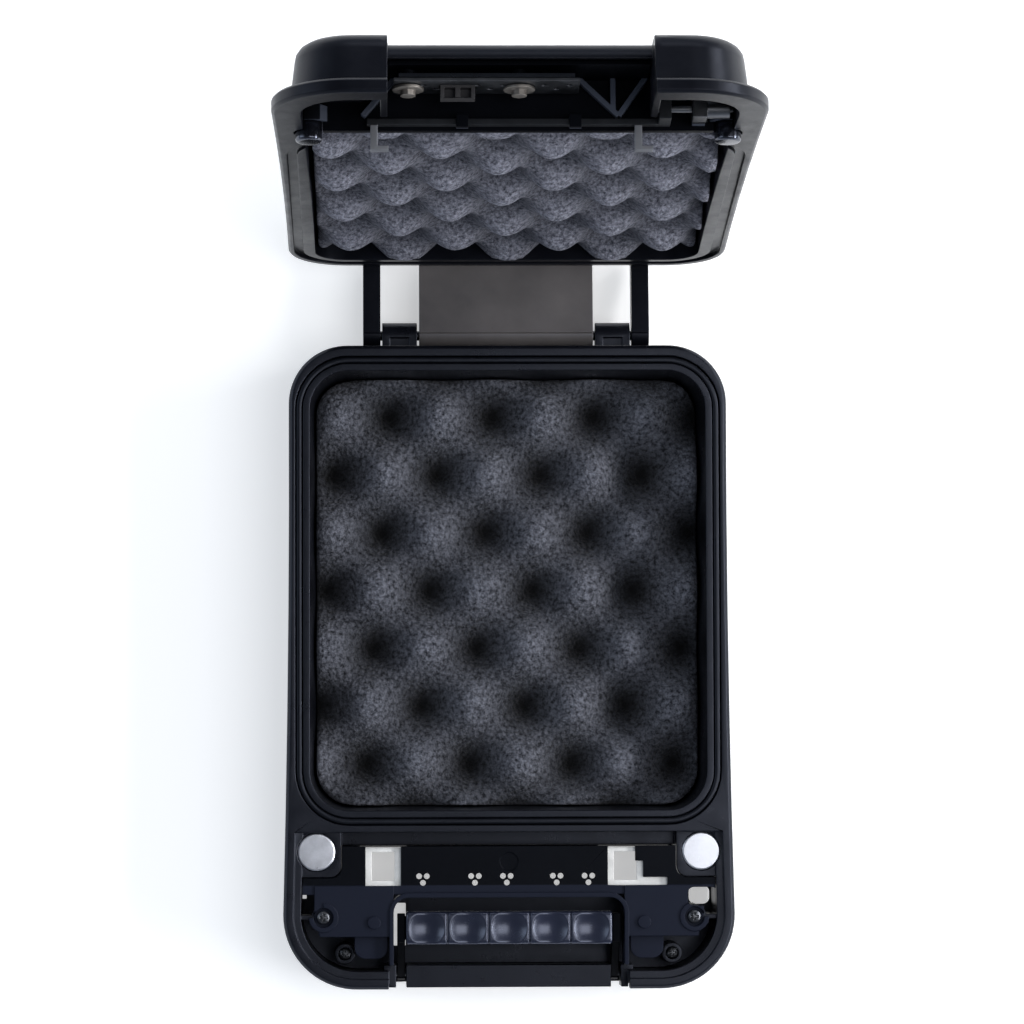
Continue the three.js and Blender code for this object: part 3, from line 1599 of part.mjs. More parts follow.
/** Override lock housing: a flanged barrel through the lid's top. */
function lockHousing() {
  const barrel = post(lockRadius, lockSide, lockY, lockBottom, lockTop);
  const flange = post(lockFlangeRadius, lockSide, lockY, lidTop + fitGap - lockFlangeHeight, lockTop);
  const bore = post(plugRadius + fitGap, lockSide, lockY, lockBottom - overrun, lockTop + overrun);
  return barrel.add(flange).subtract(bore);
}

/** Turning key plug with its keyway and the cam on its inner end. */
function keyPlug() {
  const barrel = post(plugRadius, lockSide, lockY, lockBottom - fitGap - camThickness, lockTop);
  const cam = block(
    lockSide - camLength,
    lockSide + camWidth / 2,
    lockY - camWidth / 2,
    lockY + camWidth / 2,
    lockBottom - fitGap - camThickness,
    lockBottom - fitGap,
  );
  const keyway = block(
    lockSide - keywayWidth / 2,
    lockSide + keywayWidth / 2,
    lockY - keywayLength / 2,
    lockY + keywayLength / 2,
    lockTop - keywayDepth,
    lockTop + overrun,
  );
  return barrel.add(cam).subtract(keyway);
}

// The base and what it carries
place(safe, "base_shell", baseShell(), shellBlack);
place(safe, "rim_gasket", rimGasket(), rubberBlack);
place(
  safe,
  "base_foam",
  eggCrate(
    { width: cavityWidth, length: cavityLength, x: 0, y: cavityMiddleY },
    {
      backZ: baseFoamBottom,
      direction: 1,
      thickness: baseFoamThickness,
      waveHeight: baseFoamWave,
      crestX: baseFoamCrestX,
      crestY: baseFoamCrestY,
      lean: baseFoamLean,
    },
    baseFoamWell(),
  ),
  foamGrey,
);
place(safe, "latch_deck", latchDeck(), linerBlack);
for (const { side, word } of sides) {
  place(safe, `strike_plate_${word}`, strikePlate(side), brightPlate);
  const seat = deckTop - deckSeatDepth + fitGap;
  const shank = deckThickness - deckSeatDepth + 2 * fitGap;
  place(
    safe,
    `deck_screw_${word}`,
    panScrew(side * deckScrewSide, screwY, seat, deckScrewRadius, deckScrewHeight, shank - fitGap),
    darkSteel,
  );
  const pinSeat = trenchFloorHeight + fitGap;
  const pinDome = deckPinRadius * deckPinDomeShare;
  place(
    safe,
    `deck_pin_${word}`,
    panScrew(side * deckPinSide, pinY, pinSeat, deckPinRadius, pinDome, deckPinHeight - 2 * fitGap),
    darkSteel,
  );
  const discZ = pillarTop - discThickness + fitGap;
  const disc = post(discRadius, side * discSide, discY, discZ, pillarTop);
  place(safe, `closing_disc_${word}`, disc, brightPlate);
  const pinStart = side * (flapHalfWidth - hingePinGrip + fitGap);
  const pinEnd = side * (knuckleInnerSide + knuckleWidth + hingeSideGap + armWidth);
  place(safe, `hinge_pin_${word}`, shaft(hingePinRadius, pinStart, pinEnd, hingeY, hingeZ), darkSteel);
  const pinReach = handleArmThickness / 2 + overrun - fitGap;
  const armX = side * handleArmSide;
  place(
    safe,
    `handle_pin_${word}`,
    shaft(handlePinRadius, armX - pinReach, armX + pinReach, handlePivotY, handlePivotHeight, screwSides),
    darkSteel,
  );
  const footTop = footRecess - fitGap;
  const rearFoot = post(footRadius, side * footSide, rearY - footFromEnd, -footProud, footTop);
  const frontFoot = post(footRadius, side * footSide, frontY + footFromEnd, -footProud, footTop);
  place(safe, `rear_foot_${word}`, rearFoot, rubberBlack);
  place(safe, `front_foot_${word}`, frontFoot, rubberBlack);
}
place(safe, "handle_bar", handleBar(), shellBlack);
place(safe, "handle_grip", handleGrip(), rubberBlack);

// The lid and what it carries
place(shutLid, "lid_shell", lidShell(), shellBlack);
place(shutLid, "hinge_flap", hingeFlap(), satinGrey);
place(shutLid, "bay_frame", bayFrame(), linerBlack);
const lidFoamRear = rearY - lidLandInset - foamGap;
const lidFoamFront = bayWallRearY + foamGap;
const lidFoamBack = capInnerTop - fitGap;
const lidFoamWell = cut(lidWell(foamGap, lidBottom + fitGap), postWells()).add(
  raise(
    roundRectangle(
      cavityWidth - 2 * lidFoamProudInset,
      cavityLength - 2 * lidFoamProudInset,
      cavityCornerRadius,
      0,
      cavityMiddleY,
    ),
    lidBottom - overrun,
    lidBottom + 2 * fitGap,
  ),
);
place(
  shutLid,
  "lid_foam",
  eggCrate(
    {
      width: frontWidth - 2 * lidLandInset,
      length: lidFoamRear - lidFoamFront,
      x: 0,
      y: (lidFoamRear + lidFoamFront) / 2,
    },
    {
      backZ: lidFoamBack,
      direction: -1,
      thickness: lidFoamThickness,
      waveHeight: lidFoamWave,
      crestX: lidFoamCrestX,
      crestY: lidFoamCrestY,
      lean: lidFoamLean,
    },
    lidFoamWell,
  ),
  foamGrey,
);
for (const { side, word } of sides) {
  place(shutLid, `closing_post_${word}`, closingPost(side), shellBlack);
}
place(shutLid, "latch_chassis", latchChassis(), darkSteel);
washerScrewSides.forEach((x, i) => {
  place(shutLid, `chassis_screw_${sides[i].word}`, washerScrew(x), connectorCream);
});
place(shutLid, "latch_slide", latchSlide(), darkSteel);
place(
  shutLid,
  "lead_screw",
  shaft(screwRadius, screwStart, motorSide, screwAxisY, screwAxisZ, screwSides),
  brightPlate,
);
place(shutLid, "lock_motor", lockMotor(), darkSteel);
const boardRear = bayWallFrontY - ribDepth - fitGap;
const boardFront = notchY + wallThickness;
const board = block(boardLeft, boardRight, boardFront, boardRear, boardZ, boardZ + boardThickness);
const boardHoles = washerScrewSides.map((x) =>
  post(worksPillarRadius + fitGap, x, washerY, boardZ - overrun, boardZ + overrun, screwSides),
);
place(shutLid, "control_board", cut(board, boardHoles), boardGreen);
const connectorTop = boardZ - fitGap;
const connectorFront = connectorY - connectorLength / 2;
const connectorHoles = sides.map(({ side }) => {
  const x = connectorSide + (side * connectorPitch) / 2;
  return block(
    x - connectorHole / 2,
    x + connectorHole / 2,
    connectorFront - overrun,
    connectorFront + connectorHoleDepth,
    connectorTop - connectorHoleDrop - connectorHole,
    connectorTop - connectorHoleDrop,
  );
});
place(
  shutLid,
  "board_connector",
  cut(
    block(
      connectorSide - connectorWidth / 2,
      connectorSide + connectorWidth / 2,
      connectorFront,
      connectorY + connectorLength / 2,
      connectorTop - connectorHeight,
      connectorTop,
    ),
    connectorHoles,
  ),
  connectorCream,
);
const batteryTop = capInnerTop - fitGap - wallThickness;
const batteryBottom = batteryTop - batteryHeight;
const batteryRear = bayWallFrontY - ribDepth - fitGap;
const batteryX = -(slideEnd + batteryGap + batteryWidth / 2);
const batteryY = batteryRear - batteryLength / 2;
const batteryPlan = roundRectangle(batteryWidth, batteryLength, batteryEdgeRound, batteryX, batteryY);
place(shutLid, "battery_pack", raise(batteryPlan, batteryBottom, batteryTop), batteryBlue);
const coverTop = batteryBottom - fitGap;
const coverScrewY = batteryRear - batteryLength / 2;
const coverBore = post(
  coverScrewRadius / 2 + fitGap,
  batteryX,
  coverScrewY,
  coverTop - overrun,
  coverTop + overrun,
  screwSides,
);
const cover = raise(
  roundRectangle(
    batteryWidth,
    batteryLength - coverMargin,
    batteryEdgeRound,
    batteryX,
    batteryY,
  ),
  coverTop - coverThickness,
  coverTop,
).subtract(coverBore);
place(shutLid, "battery_cover", cover, linerBlack);
const coverScrewTop = coverTop - coverThickness - fitGap;
const coverScrewLow = coverScrewTop - coverScrewHeight;
const coverHead = post(coverScrewRadius, batteryX, coverScrewY, coverScrewLow, coverScrewTop, screwSides);
const coverStemFoot = coverScrewTop - fitGap;
const coverStem = post(coverScrewRadius / 2, batteryX, coverScrewY, coverStemFoot, coverTop, screwSides);
place(shutLid, "battery_cover_screw", coverHead.add(coverStem), darkSteel);
place(shutLid, "keypad_plate", keypadPlate(), linerBlack);
for (let i = 0; i < buttonCount; i += 1) {
  place(shutLid, `key_button_${i + 1}`, keyButton(i), rubberBlack);
}
place(
  shutLid,
  "status_lens",
  post(lensRadius, lensSide, keypadY, keypadTop - keypadThickness, keypadTop + fitGap, screwSides),
  lensRed,
);
place(shutLid, "lock_housing", lockHousing(), brightPlate);
place(shutLid, "key_plug", keyPlug(), brightPlate);

export default safe;
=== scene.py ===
"""Looks of the portable car safe, from the base upwards, then the lid, the room and the camera."""

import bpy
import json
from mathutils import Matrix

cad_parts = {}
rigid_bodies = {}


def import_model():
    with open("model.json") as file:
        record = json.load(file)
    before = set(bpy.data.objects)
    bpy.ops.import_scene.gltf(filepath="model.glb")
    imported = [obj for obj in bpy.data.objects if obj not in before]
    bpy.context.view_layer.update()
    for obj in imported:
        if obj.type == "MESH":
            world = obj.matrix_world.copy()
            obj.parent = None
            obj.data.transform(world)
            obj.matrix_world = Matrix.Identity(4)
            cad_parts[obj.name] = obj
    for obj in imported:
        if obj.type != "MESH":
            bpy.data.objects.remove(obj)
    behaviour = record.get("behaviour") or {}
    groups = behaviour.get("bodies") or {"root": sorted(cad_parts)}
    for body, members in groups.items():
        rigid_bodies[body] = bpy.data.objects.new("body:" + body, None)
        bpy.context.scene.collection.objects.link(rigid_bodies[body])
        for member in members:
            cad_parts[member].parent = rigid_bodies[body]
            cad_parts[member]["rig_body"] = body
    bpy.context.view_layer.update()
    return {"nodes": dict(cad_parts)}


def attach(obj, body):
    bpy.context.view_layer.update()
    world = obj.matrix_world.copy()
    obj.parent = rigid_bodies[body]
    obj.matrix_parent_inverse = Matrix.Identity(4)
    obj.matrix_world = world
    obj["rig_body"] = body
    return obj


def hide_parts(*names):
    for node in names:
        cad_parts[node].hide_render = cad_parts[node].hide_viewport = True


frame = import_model()

import json
import math

import bmesh
import bpy
import numpy as np
from mathutils import Matrix, Vector

nodes = frame["nodes"]


# Base shell: the lower half of the case, one moulding in black glass-filled polymer, satin with
# a very fine spark texture. The solid's facets are joined, its corner arcs are refined to true
# rounds, and every edge gets the small radius that the mould leaves.
def linear(red, green, blue):
    """A colour written from 0 to 255, in linear light by the sRGB curve."""
    shares = np.array([red, green, blue]) / 255
    light = np.where(shares > 0.04045, ((shares + 0.055) / 1.055) ** 2.4, shares / 12.92)
    return (*light.tolist(), 1.0)


def toned(shade, share):
    """A shade made darker or lighter by a share of its light."""
    return tuple(share * part for part in shade[:3]) + (1,)


def feed(material, shader, sockets):
    """Gives a node's sockets their values, each a number, a colour or another node's output."""
    for name, value in sockets.items():
        if isinstance(value, bpy.types.NodeSocket):
            material.node_tree.links.new(value, shader.inputs[name])
        else:
            shader.inputs[name].default_value = value


def node(material, kind, sockets=None, **settings):
    """One shader node with its settings and the values of its sockets."""
    made = material.node_tree.nodes.new(kind)
    for name, value in settings.items():
        setattr(made, name, value)
    feed(material, made, sockets or {})
    return made


def blank(name):
    """A new material, its surface shader, and the object coordinates that patterns follow."""
    material = bpy.data.materials.new(name)
    material.use_nodes = True
    surface = material.node_tree.nodes["Principled BSDF"]
    place = node(material, "ShaderNodeTexCoord").outputs["Object"]
    return material, surface, place


def mapped(material, value, start, end, low=0.0, high=1.0):
    """A value that runs from start to end, stretched to run from low to high and held there."""
    sockets = {"Value": value, "From Min": start, "From Max": end, "To Min": low, "To Max": high}
    return node(material, "ShaderNodeMapRange", sockets).outputs["Result"]


def between(material, noise, low, high):
    """A noise, which stays near 0.3 to 0.7, stretched to run from low to high."""
    return mapped(material, noise, 0.3, 0.7, low, high)


def noise(material, place, scale, detail, rough=0.55):
    """Cloudy noise with features about one metre over scale across."""
    sockets = {"Vector": place, "Scale": scale, "Detail": detail, "Roughness": rough}
    return node(material, "ShaderNodeTexNoise", sockets).outputs["Fac"]


def mixed(material, share, first, second, blend="MIX"):
    """Two colours mixed by a share from 0 to 1."""
    sockets = {0: share, 6: first, 7: second}
    return node(
        material, "ShaderNodeMix", sockets, data_type="RGBA", blend_type=blend
    ).outputs[2]


def relief(material, height, strength, depth):
    """Fine relief as bump, whose heights from 0 to 1 stand for depths up to depth metres."""
    sockets = {"Height": height, "Strength": strength, "Distance": depth}
    return node(material, "ShaderNodeBump", sockets).outputs["Normal"]


def moulded(name, shade, roughness, grain, spark, gloss=0.35, spread=0.07):
    """Moulded polymer: two near shades in clouds, roughness that drifts, spark grain as bump."""
    material, surface, place = blank(name)
    clouds = between(material, noise(material, place, scale=31, detail=4), 0, 1)
    handling = noise(material, place, scale=95, detail=6, rough=0.7)
    sparks = noise(material, place, scale=grain, detail=2)
    cool_gloss = (0.74, 0.8, 1.0, 1.0)
    feed(material, surface, {
        "Base Color": mixed(material, clouds, toned(shade, 0.75), toned(shade, 1.3)),
        "Roughness": between(material, handling, roughness - spread, roughness + spread),
        "Normal": relief(material, sparks, strength=spark, depth=0.0002),
        "Specular IOR Level": gloss,
        "Specular Tint": cool_gloss,
    })
    return material


CASE_LENGTH = 0.292
WAIST_DEPTH = 0.0014
FACET = 15
REAR_CORNER = (0.073, 0.119)
FRONT_CORNER = (0.0688, 0.112)
CORNERS = (
    (1, 1, *REAR_CORNER),
    (-1, 1, *REAR_CORNER),
    (1, -1, *FRONT_CORNER),
    (-1, -1, *FRONT_CORNER),
)


def waist(y):
    """How far the case's long sides draw in at a distance y from its middle."""
    return WAIST_DEPTH * (1 - (2 * y / CASE_LENGTH) ** 2)


def split_corners(shape):
    """Cuts each facet of the case's four corners in three, by upright planes."""
    slack_x, slack_y = 0.0012, 1e-5
    for way_x, way_y, middle_x, middle_y in CORNERS:

        def inside(point):
            past_side = way_x * point.co.x > middle_x - slack_x
            return past_side and way_y * point.co.y > middle_y - slack_y

        middle = Vector((way_x * (middle_x - waist(middle_y)), way_y * middle_y, 0))
        for third in (step for step in range(18) if step % 3):
            angle = math.radians(FACET / 3 * third)
            edges = [edge for edge in shape.edges if all(inside(v) for v in edge.verts)]
            faces = [face for face in shape.faces if all(inside(v) for v in face.verts)]
            across = Vector((-way_x * math.sin(angle), way_y * math.cos(angle), 0))
            bmesh.ops.bisect_plane(
                shape, geom=edges + faces, dist=1e-6, plane_co=middle, plane_no=across
            )


def round_corners(mesh):
    """Moves the points of the split corners out to the arc: one at angle a from its facet's
    middle goes to radius times cos(a) / cos(half a facet)."""
    facet = math.radians(FACET)
    points = np.empty(3 * len(mesh.vertices), np.float32)
    mesh.vertices.foreach_get("co", points)
    points = points.reshape(-1, 3).astype(float)
    x, y = points[:, 0] + np.sign(points[:, 0]) * waist(points[:, 1]), points[:, 1]
    for way_x, way_y, middle_x, middle_y in CORNERS:
        out_x, out_y = way_x * x - middle_x, way_y * y - middle_y
        corner = (out_x > 0) & (out_y > 0)
        angle = np.arctan2(out_y[corner], out_x[corner])
        off = np.mod(angle, facet) - facet / 2
        grow = np.cos(off) / math.cos(facet / 2)
        x[corner] = way_x * (middle_x + out_x[corner] * grow)
        y[corner] = way_y * (middle_y + out_y[corner] * grow)
    points[:, 0], points[:, 1] = x - np.sign(x) * waist(y), y
    mesh.vertices.foreach_set("co", points.ravel().astype(np.float32))


def smooth_edges(piece, radius, limit, rounds):
    """Rounds the piece's sharp edges and lets its broad faces rule the shading."""
    piece.data.shade_smooth()
    if radius:
        bevel = piece.modifiers.new("edge radius", "BEVEL")
        bevel.width = radius
        bevel.segments = rounds
        bevel.limit_method = "ANGLE"
        bevel.angle_limit = math.radians(limit)
        bevel.use_clamp_overlap = False
        bevel.loop_slide = False
        bevel.miter_outer = "MITER_ARC"
    weigh = piece.modifiers.new("broad faces", "WEIGHTED_NORMAL")
    weigh.mode = "FACE_AREA"
    weigh.keep_sharp = False


def show(piece, body, material):
    """Puts a finished piece in the scene on its body, with its one material."""
    bpy.context.scene.collection.objects.link(piece)
    piece.data.materials.clear()
    piece.data.materials.append(material)
    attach(piece, body)


def skin(name, material, radius, corners=None, limit=33, rounds=2):
    """A copy of a solid with its facets joined and its edges rounded, shown in the solid's place.
    Corners is the turn of the case half whose four corner arcs are refined as well."""
    source = nodes[name]
    shape = bmesh.new()
    shape.from_mesh(source.data)
    bmesh.ops.remove_doubles(shape, verts=shape.verts, dist=2e-6)
    flat = math.radians(0.5)
    even = [edge for edge in shape.edges if edge.is_manifold and edge.calc_face_angle(1) < flat]
    bmesh.ops.beautify_fill(shape, faces=shape.faces[:], edges=even, method="AREA")
    bmesh.ops.join_triangles(
        shape,
        faces=shape.faces,
        angle_face_threshold=flat,
        angle_shape_threshold=math.radians(110),
    )
    if corners is not None:
        shape.transform(corners.inverted())
        split_corners(shape)
    mesh = bpy.data.meshes.new(name + "_skin")
    shape.to_mesh(mesh)
    shape.free()
    if corners is not None:
        round_corners(mesh)
        mesh.transform(corners)
    piece = bpy.data.objects.new(name + "_skin", mesh)
    smooth_edges(piece, radius, limit, rounds)
    show(piece, source["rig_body"], material)
    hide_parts(name)


shell_polymer = moulded(
    "shell_polymer", linear(9, 10, 15), roughness=0.32, grain=1500, spark=0.1, gloss=0.38
)
skin("base_shell", shell_polymer, radius=0.00035, corners=Matrix.Identity(4))


# Rim gasket: a black rubber loop pressed into the groove round the cavity's mouth. It is a
# profile of a low dome on square sides, carried round the groove's rounded rectangle.
def rounded_rectangle(width, length, radius, middle, count):
    """Points and outward directions at even steps round a rectangle with round corners: each
    point is the nearest one of the inner rectangle, plus radius times the direction."""
    straight_x, straight_y = width - 2 * radius, length - 2 * radius
    arc = math.pi / 2 * radius
    runs = np.cumsum([0, straight_y, arc, straight_x, arc, straight_y, arc, straight_x, arc])
    along = np.linspace(0, runs[-1], count, endpoint=False)
    part = np.searchsorted(runs, along, side="right") - 1
    inner = (along - runs[part]) / np.maximum(runs[part + 1] - runs[part], 1e-9)
    turn = (part // 2) * (math.pi / 2) + np.where(part % 2 == 1, inner * math.pi / 2, 0)
    out = np.stack([np.cos(turn), np.sin(turn)], 1)
    ends = np.array([[1, -1], [1, 1], [-1, 1], [-1, -1]]) * [straight_x / 2, straight_y / 2]
    start, end = ends[(part // 2 + part % 2) % 4], ends[(part // 2 + 1) % 4]
    share = np.where(part % 2 == 0, inner, 0)[:, None]
    return start + (end - start) * share + radius * out + np.array(middle), out


def squared(wave, power):
    """A sine or cosine to a power, with its sign kept: below 1 it makes a round boxier."""
    return np.sign(wave) * np.abs(wave) ** power


def mesh_of(name, points, faces):
    """A smooth object from an array of points and a list of faces."""
    mesh = bpy.data.meshes.new(name)
    mesh.from_pydata(points.reshape(-1, 3).tolist(), [], faces)
    mesh.validate()
    mesh.shade_smooth()
    return bpy.data.objects.new(name, mesh)


def grid_faces(rows, columns, close_rows=False, close_columns=False):
    """The four-cornered faces of a grid of points, closed on itself either way."""
    index = np.arange(rows * columns).reshape(rows, columns)
    if close_rows:
        index = np.vstack([index, index[:1]])
    if close_columns:
        index = np.hstack([index, index[:, :1]])
    quads = np.stack([index[:-1, :-1], index[:-1, 1:], index[1:, 1:], index[1:, :-1]], -1)
    return quads.reshape(-1, 4).tolist()


gasket_rubber = moulded(
    "gasket_rubber", linear(5, 6, 10), roughness=0.32, grain=2600, spark=0.15, gloss=0.4
)
GROOVE_OUT = 0.0048
GASKET_WIDTH, GASKET_LENGTH = 0.18 + 2 * GROOVE_OUT, 0.2 + 2 * GROOVE_OUT
GASKET_RADIUS, GASKET_MIDDLE = 0.0228, (0, 0.0346)
CORD_HALF_WIDTH, CORD_LEVEL, CORD_DOME = 0.00145, 0.04412, 0.00138
steps, sides = 480, 20
path, outward = rounded_rectangle(
    GASKET_WIDTH, GASKET_LENGTH, GASKET_RADIUS, GASKET_MIDDLE, steps
)
section = np.radians(np.linspace(0, 360, sides, endpoint=False))
reach = CORD_HALF_WIDTH * squared(np.cos(section), 0.6)
cord = np.empty((steps, sides, 3))
cord[:, :, :2] = path[:, None] + outward[:, None] * reach[None, :, None]
cord[:, :, 2] = CORD_LEVEL + CORD_DOME * squared(np.sin(section), 0.7)
gasket = mesh_of("rim_gasket_cord", cord, grid_faces(steps, sides, True, True))
show(gasket, "base", gasket_rubber)
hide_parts("rim_gasket")


# Base foam: an egg-crate pad of charcoal open-cell foam that lines the cavity, laid in loose.
# Its top is the product of two cosine waves in staggered rows, leaning a little, with slow
# unevenness; the crests are painted paler as if lit and the hollows darker as painted shade.
def maths(material, operation, first, second):
    """The sum, product or larger one of two values, each a number or a node's output."""
    sockets = {0: first, 1: second}
    return node(material, "ShaderNodeMath", sockets, operation=operation).outputs[0]


def open_foam(name, hollow_shade, lit_crest):
    """Open-cell foam: a speckle of pores over two tones, mixed by how near a crest the point is:
    a painted lit tone on the crests and painted shade in the hollows.
    """
    pores = 560
    material, surface, place = blank(name)
    # painted light: the crest share lightens the foam towards its crests as if lit and darkens the
    # hollows as painted shade
    height = node(material, "ShaderNodeAttribute", attribute_name="lit_crest").outputs["Fac"]
    sockets = {"Vector": place, "Scale": pores, "Randomness": 1.0}
    cells = node(material, "ShaderNodeTexVoronoi", sockets).outputs["Distance"]
    speckle = noise(material, place, scale=pores * 0.9, detail=5, rough=0.75)
    rough = maths(material, "ADD", cells, speckle)
    holes = mapped(material, speckle, start=0.36, end=0.62)
    specks = mixed(material, holes, toned(lit_crest, 0.38), (1.0, 1.0, 1.0, 1.0))
    painted_light_tone = mixed(material, height, hollow_shade, lit_crest)
    feed(material, surface, {
        "Base Color": mixed(material, 1.0, painted_light_tone, specks, "MULTIPLY"),
        "Normal": relief(material, rough, strength=0.9, depth=0.0012),
        "Roughness": 0.95,
        "Specular IOR Level": 0.08,
        "Sheen Weight": 0.06,
        "Sheen Roughness": 0.6,
    })
    return material


def uneven(x, y, seed):
    """Slow unevenness: nine sine waves of random heading, 12 to 40 mm long, averaged."""
    waves = 9
    dice = np.random.default_rng(seed)
    heading = dice.uniform(0, math.pi, waves)
    turns = 2 * math.pi / dice.uniform(0.012, 0.04, waves)
    start = dice.uniform(0, 2 * math.pi, waves)
    far = np.cos(heading) * x[..., None] + np.sin(heading) * y[..., None]
    return np.sin(far * turns + start).sum(-1) / waves


CRATE_LENGTH, CRATE_WIDTH = 0.053, 0.047
EASE_DEPTH, EASE_REACH, UNEVEN_DEPTH = 0.0012, 0.0011, 0.0007


def egg_crate(
    name, seed, half_width, rear, front, radius, back, way, thickness, wave, crest_x, crest_y, lean
):
    """A pad whose rows are as wide as the rounded outline lets them be, and whose face is
    back + way * (thickness - wave / 2 * (1 - cos a cos b)), eased down at its cut edge."""
    rows, columns, levels = 200, 180, 8
    y = np.linspace(front, rear, rows)[:, None] * np.ones((1, columns))
    into = np.maximum(radius - np.minimum(rear - y, y - front), 0)
    wide = half_width - radius + np.sqrt(np.maximum(radius**2 - into**2, 0))
    x = np.linspace(-1, 1, columns)[None, :] * wide
    along = 2 * math.pi * (y - crest_y) / CRATE_LENGTH
    across = 2 * math.pi * (x - crest_x - lean * (y - crest_y)) / CRATE_WIDTH
    crate = np.cos(along) * np.cos(across)
    edge = np.minimum(np.minimum(rear - y, y - front), wide - np.abs(x))
    ease = EASE_DEPTH * np.exp(-np.maximum(edge, 0) / EASE_REACH)
    face = thickness - wave / 2 * (1 - crate) + UNEVEN_DEPTH * uneven(x, y, seed) - ease
    top = np.stack([x, y, back + way * face], -1)
    rim = np.concatenate([top[0, :-1], top[:-1, -1], top[-1, :0:-1], top[:0:-1, 0]])
    count = len(rim)
    down = np.linspace(0, 1, levels + 1)[1:, None]
    wall = np.repeat(rim[None], levels, 0)
    wall[:, :, 2] = rim[None, :, 2] * (1 - down) + back * down
    middle = [[0, (rear + front) / 2, back]]
    points = np.concatenate([top.reshape(-1, 3), wall.reshape(-1, 3), middle])
    index = np.arange(rows * columns).reshape(rows, columns)
    border = np.concatenate([index[0, :-1], index[:-1, -1], index[-1, :0:-1], index[:0:-1, 0]])
    below = rows * columns + np.arange(levels * count).reshape(levels, count)
    rings = np.vstack([border, below])
    rings = np.hstack([rings, rings[:, :1]])
    walls = np.stack([rings[:-1, :-1], rings[1:, :-1], rings[1:, 1:], rings[:-1, 1:]], -1)
    floor = np.stack([rings[-1, 1:], rings[-1, :-1], np.full(count, len(points) - 1)], -1)
    parts = [np.array(grid_faces(rows, columns)), walls.reshape(-1, 4), floor]
    faces = [face for part in parts for face in (part if way > 0 else part[:, ::-1]).tolist()]
    pad = mesh_of(name, points, faces)
    # painted light: the crest share, 1 on crests, 0 in hollows and 0.25 on the sides, paints lit
    # crests and shaded hollows
    share = np.full(len(points), 0.25, np.float32)
    share[: rows * columns] = (0.5 + 0.5 * crate).ravel()
    pad.data.attributes.new("lit_crest", "FLOAT", "POINT").data.foreach_set("value", share)
    return pad


charcoal_foam = open_foam("charcoal_foam", linear(3, 3, 5), linear(116, 118, 128))
base_pad = egg_crate(
    "base_foam_pad", seed=11, half_width=0.0872, rear=0.1321, front=-0.0629, radius=0.0165,
    back=0.0033, way=1, thickness=0.0245, wave=0.013, crest_x=0.0635, crest_y=0.115, lean=0.07,
)
show(base_pad, "base", charcoal_foam)
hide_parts("base_foam")


# Latch deck: the cover over the front compartment, one thin moulding with the handle's well, in
# a finer and darker texture than the shell, paler on the raised wings at its front.
def two_tone(material, shade, limits, opened=Matrix.Identity(4)):
    """Changes a material to a second shade inside its limits: each is a heading in the shut case
    and the two distances along it between which the change is made."""
    surface = material.node_tree.nodes["Principled BSDF"]
    place = node(material, "ShaderNodeTexCoord").outputs["Object"]
    share = 1.0
    for heading, start, end in limits:
        origin = Vector(heading).dot(opened.inverted().translation)
        sockets = {0: place, 1: opened.to_3x3() @ Vector(heading)}
        far = node(material, "ShaderNodeVectorMath", sockets, operation="DOT_PRODUCT")
        ramp = mapped(material, far.outputs["Value"], start - origin, end - origin)
        share = maths(material, "MULTIPLY", ramp, share)
    first = surface.inputs["Base Color"].links[0].from_socket
    feed(material, surface, {"Base Color": mixed(material, share, first, shade)})


deck_polymer = moulded(
    "deck_polymer", linear(4, 5, 8), roughness=0.42, grain=2100, spark=0.12, gloss=0.1
)
wing_limits = [((0, -1, 0), 0.0989, 0.0993)]
two_tone(deck_polymer, linear(25, 28, 39), wing_limits)
skin("latch_deck", deck_polymer, radius=0.00028)


# Strike plates: pale zinc-plated steel plates under the two windows, each with the square
# hole that the latch hook enters. They keep the solid's shape, with stamped edges.
def plated(name, shade, roughness, streak=(900, 60, 60), lined=0.03):
    """Plated metal: fine drawn lines along one axis, drifting roughness and a faint tarnish."""
    material, surface, place = blank(name)
    sockets = {"Vector": place, "Scale": streak}
    drawn = node(material, "ShaderNodeMapping", sockets).outputs["Vector"]
    lines = noise(material, drawn, scale=1.0, detail=4, rough=0.6)
    clouds = noise(material, place, scale=140, detail=5, rough=0.6)
    tarnish = between(material, clouds, 0, 1)
    feed(material, surface, {
        "Base Color": mixed(material, tarnish, toned(shade, 0.72), shade),
        "Roughness": between(material, clouds, roughness - 0.06, roughness + 0.08),
        "Normal": relief(material, lines, strength=lined, depth=0.0001),
        "Metallic": 1.0,
    })
    return material


matte_zinc = plated("matte_zinc", linear(244, 243, 240), roughness=0.5)
matte_zinc.node_tree.nodes["Principled BSDF"].inputs["Metallic"].default_value = 0.15
for side in ("left", "right"):
    skin("strike_plate_" + side, matte_zinc, radius=0.0002)


# Closing discs: turned and nickel-plated steel discs set flush in the corner pillars, which the
# lid's posts land on. Each is a turned profile with a small chamfer and faint turning rings.
def turned_faces(rows, across):
    """The faces of a grid closed round its axis, with a fan on two more points at either end."""
    ring = np.arange(across)
    after, last = np.roll(ring, -1), (rows - 1) * across
    first_fan = np.stack([after, ring, np.full(across, rows * across)], -1)
    last_fan = np.stack([last + ring, last + after, np.full(across, rows * across + 1)], -1)
    return grid_faces(rows, across, False, True) + first_fan.tolist() + last_fan.tolist()


def turned(name, profile, middle, across=96):
    """A profile of (radius, height) rows, first and last on the axis, turned round a vertical."""
    profile = np.array(profile, float)
    angle = np.linspace(0, 2 * math.pi, across, endpoint=False)
    body = profile[1:-1]
    points = np.empty((len(body), across, 3))
    points[..., 0] = middle[0] + body[:, :1] * np.cos(angle)
    points[..., 1] = middle[1] + body[:, :1] * np.sin(angle)
    points[..., 2] = middle[2] + body[:, 1:]
    ends = np.array(middle) + [[0, 0, profile[0, 1]], [0, 0, profile[-1, 1]]]
    points = np.concatenate([points.reshape(-1, 3), ends])
    return mesh_of(name, points, turned_faces(len(body), across))


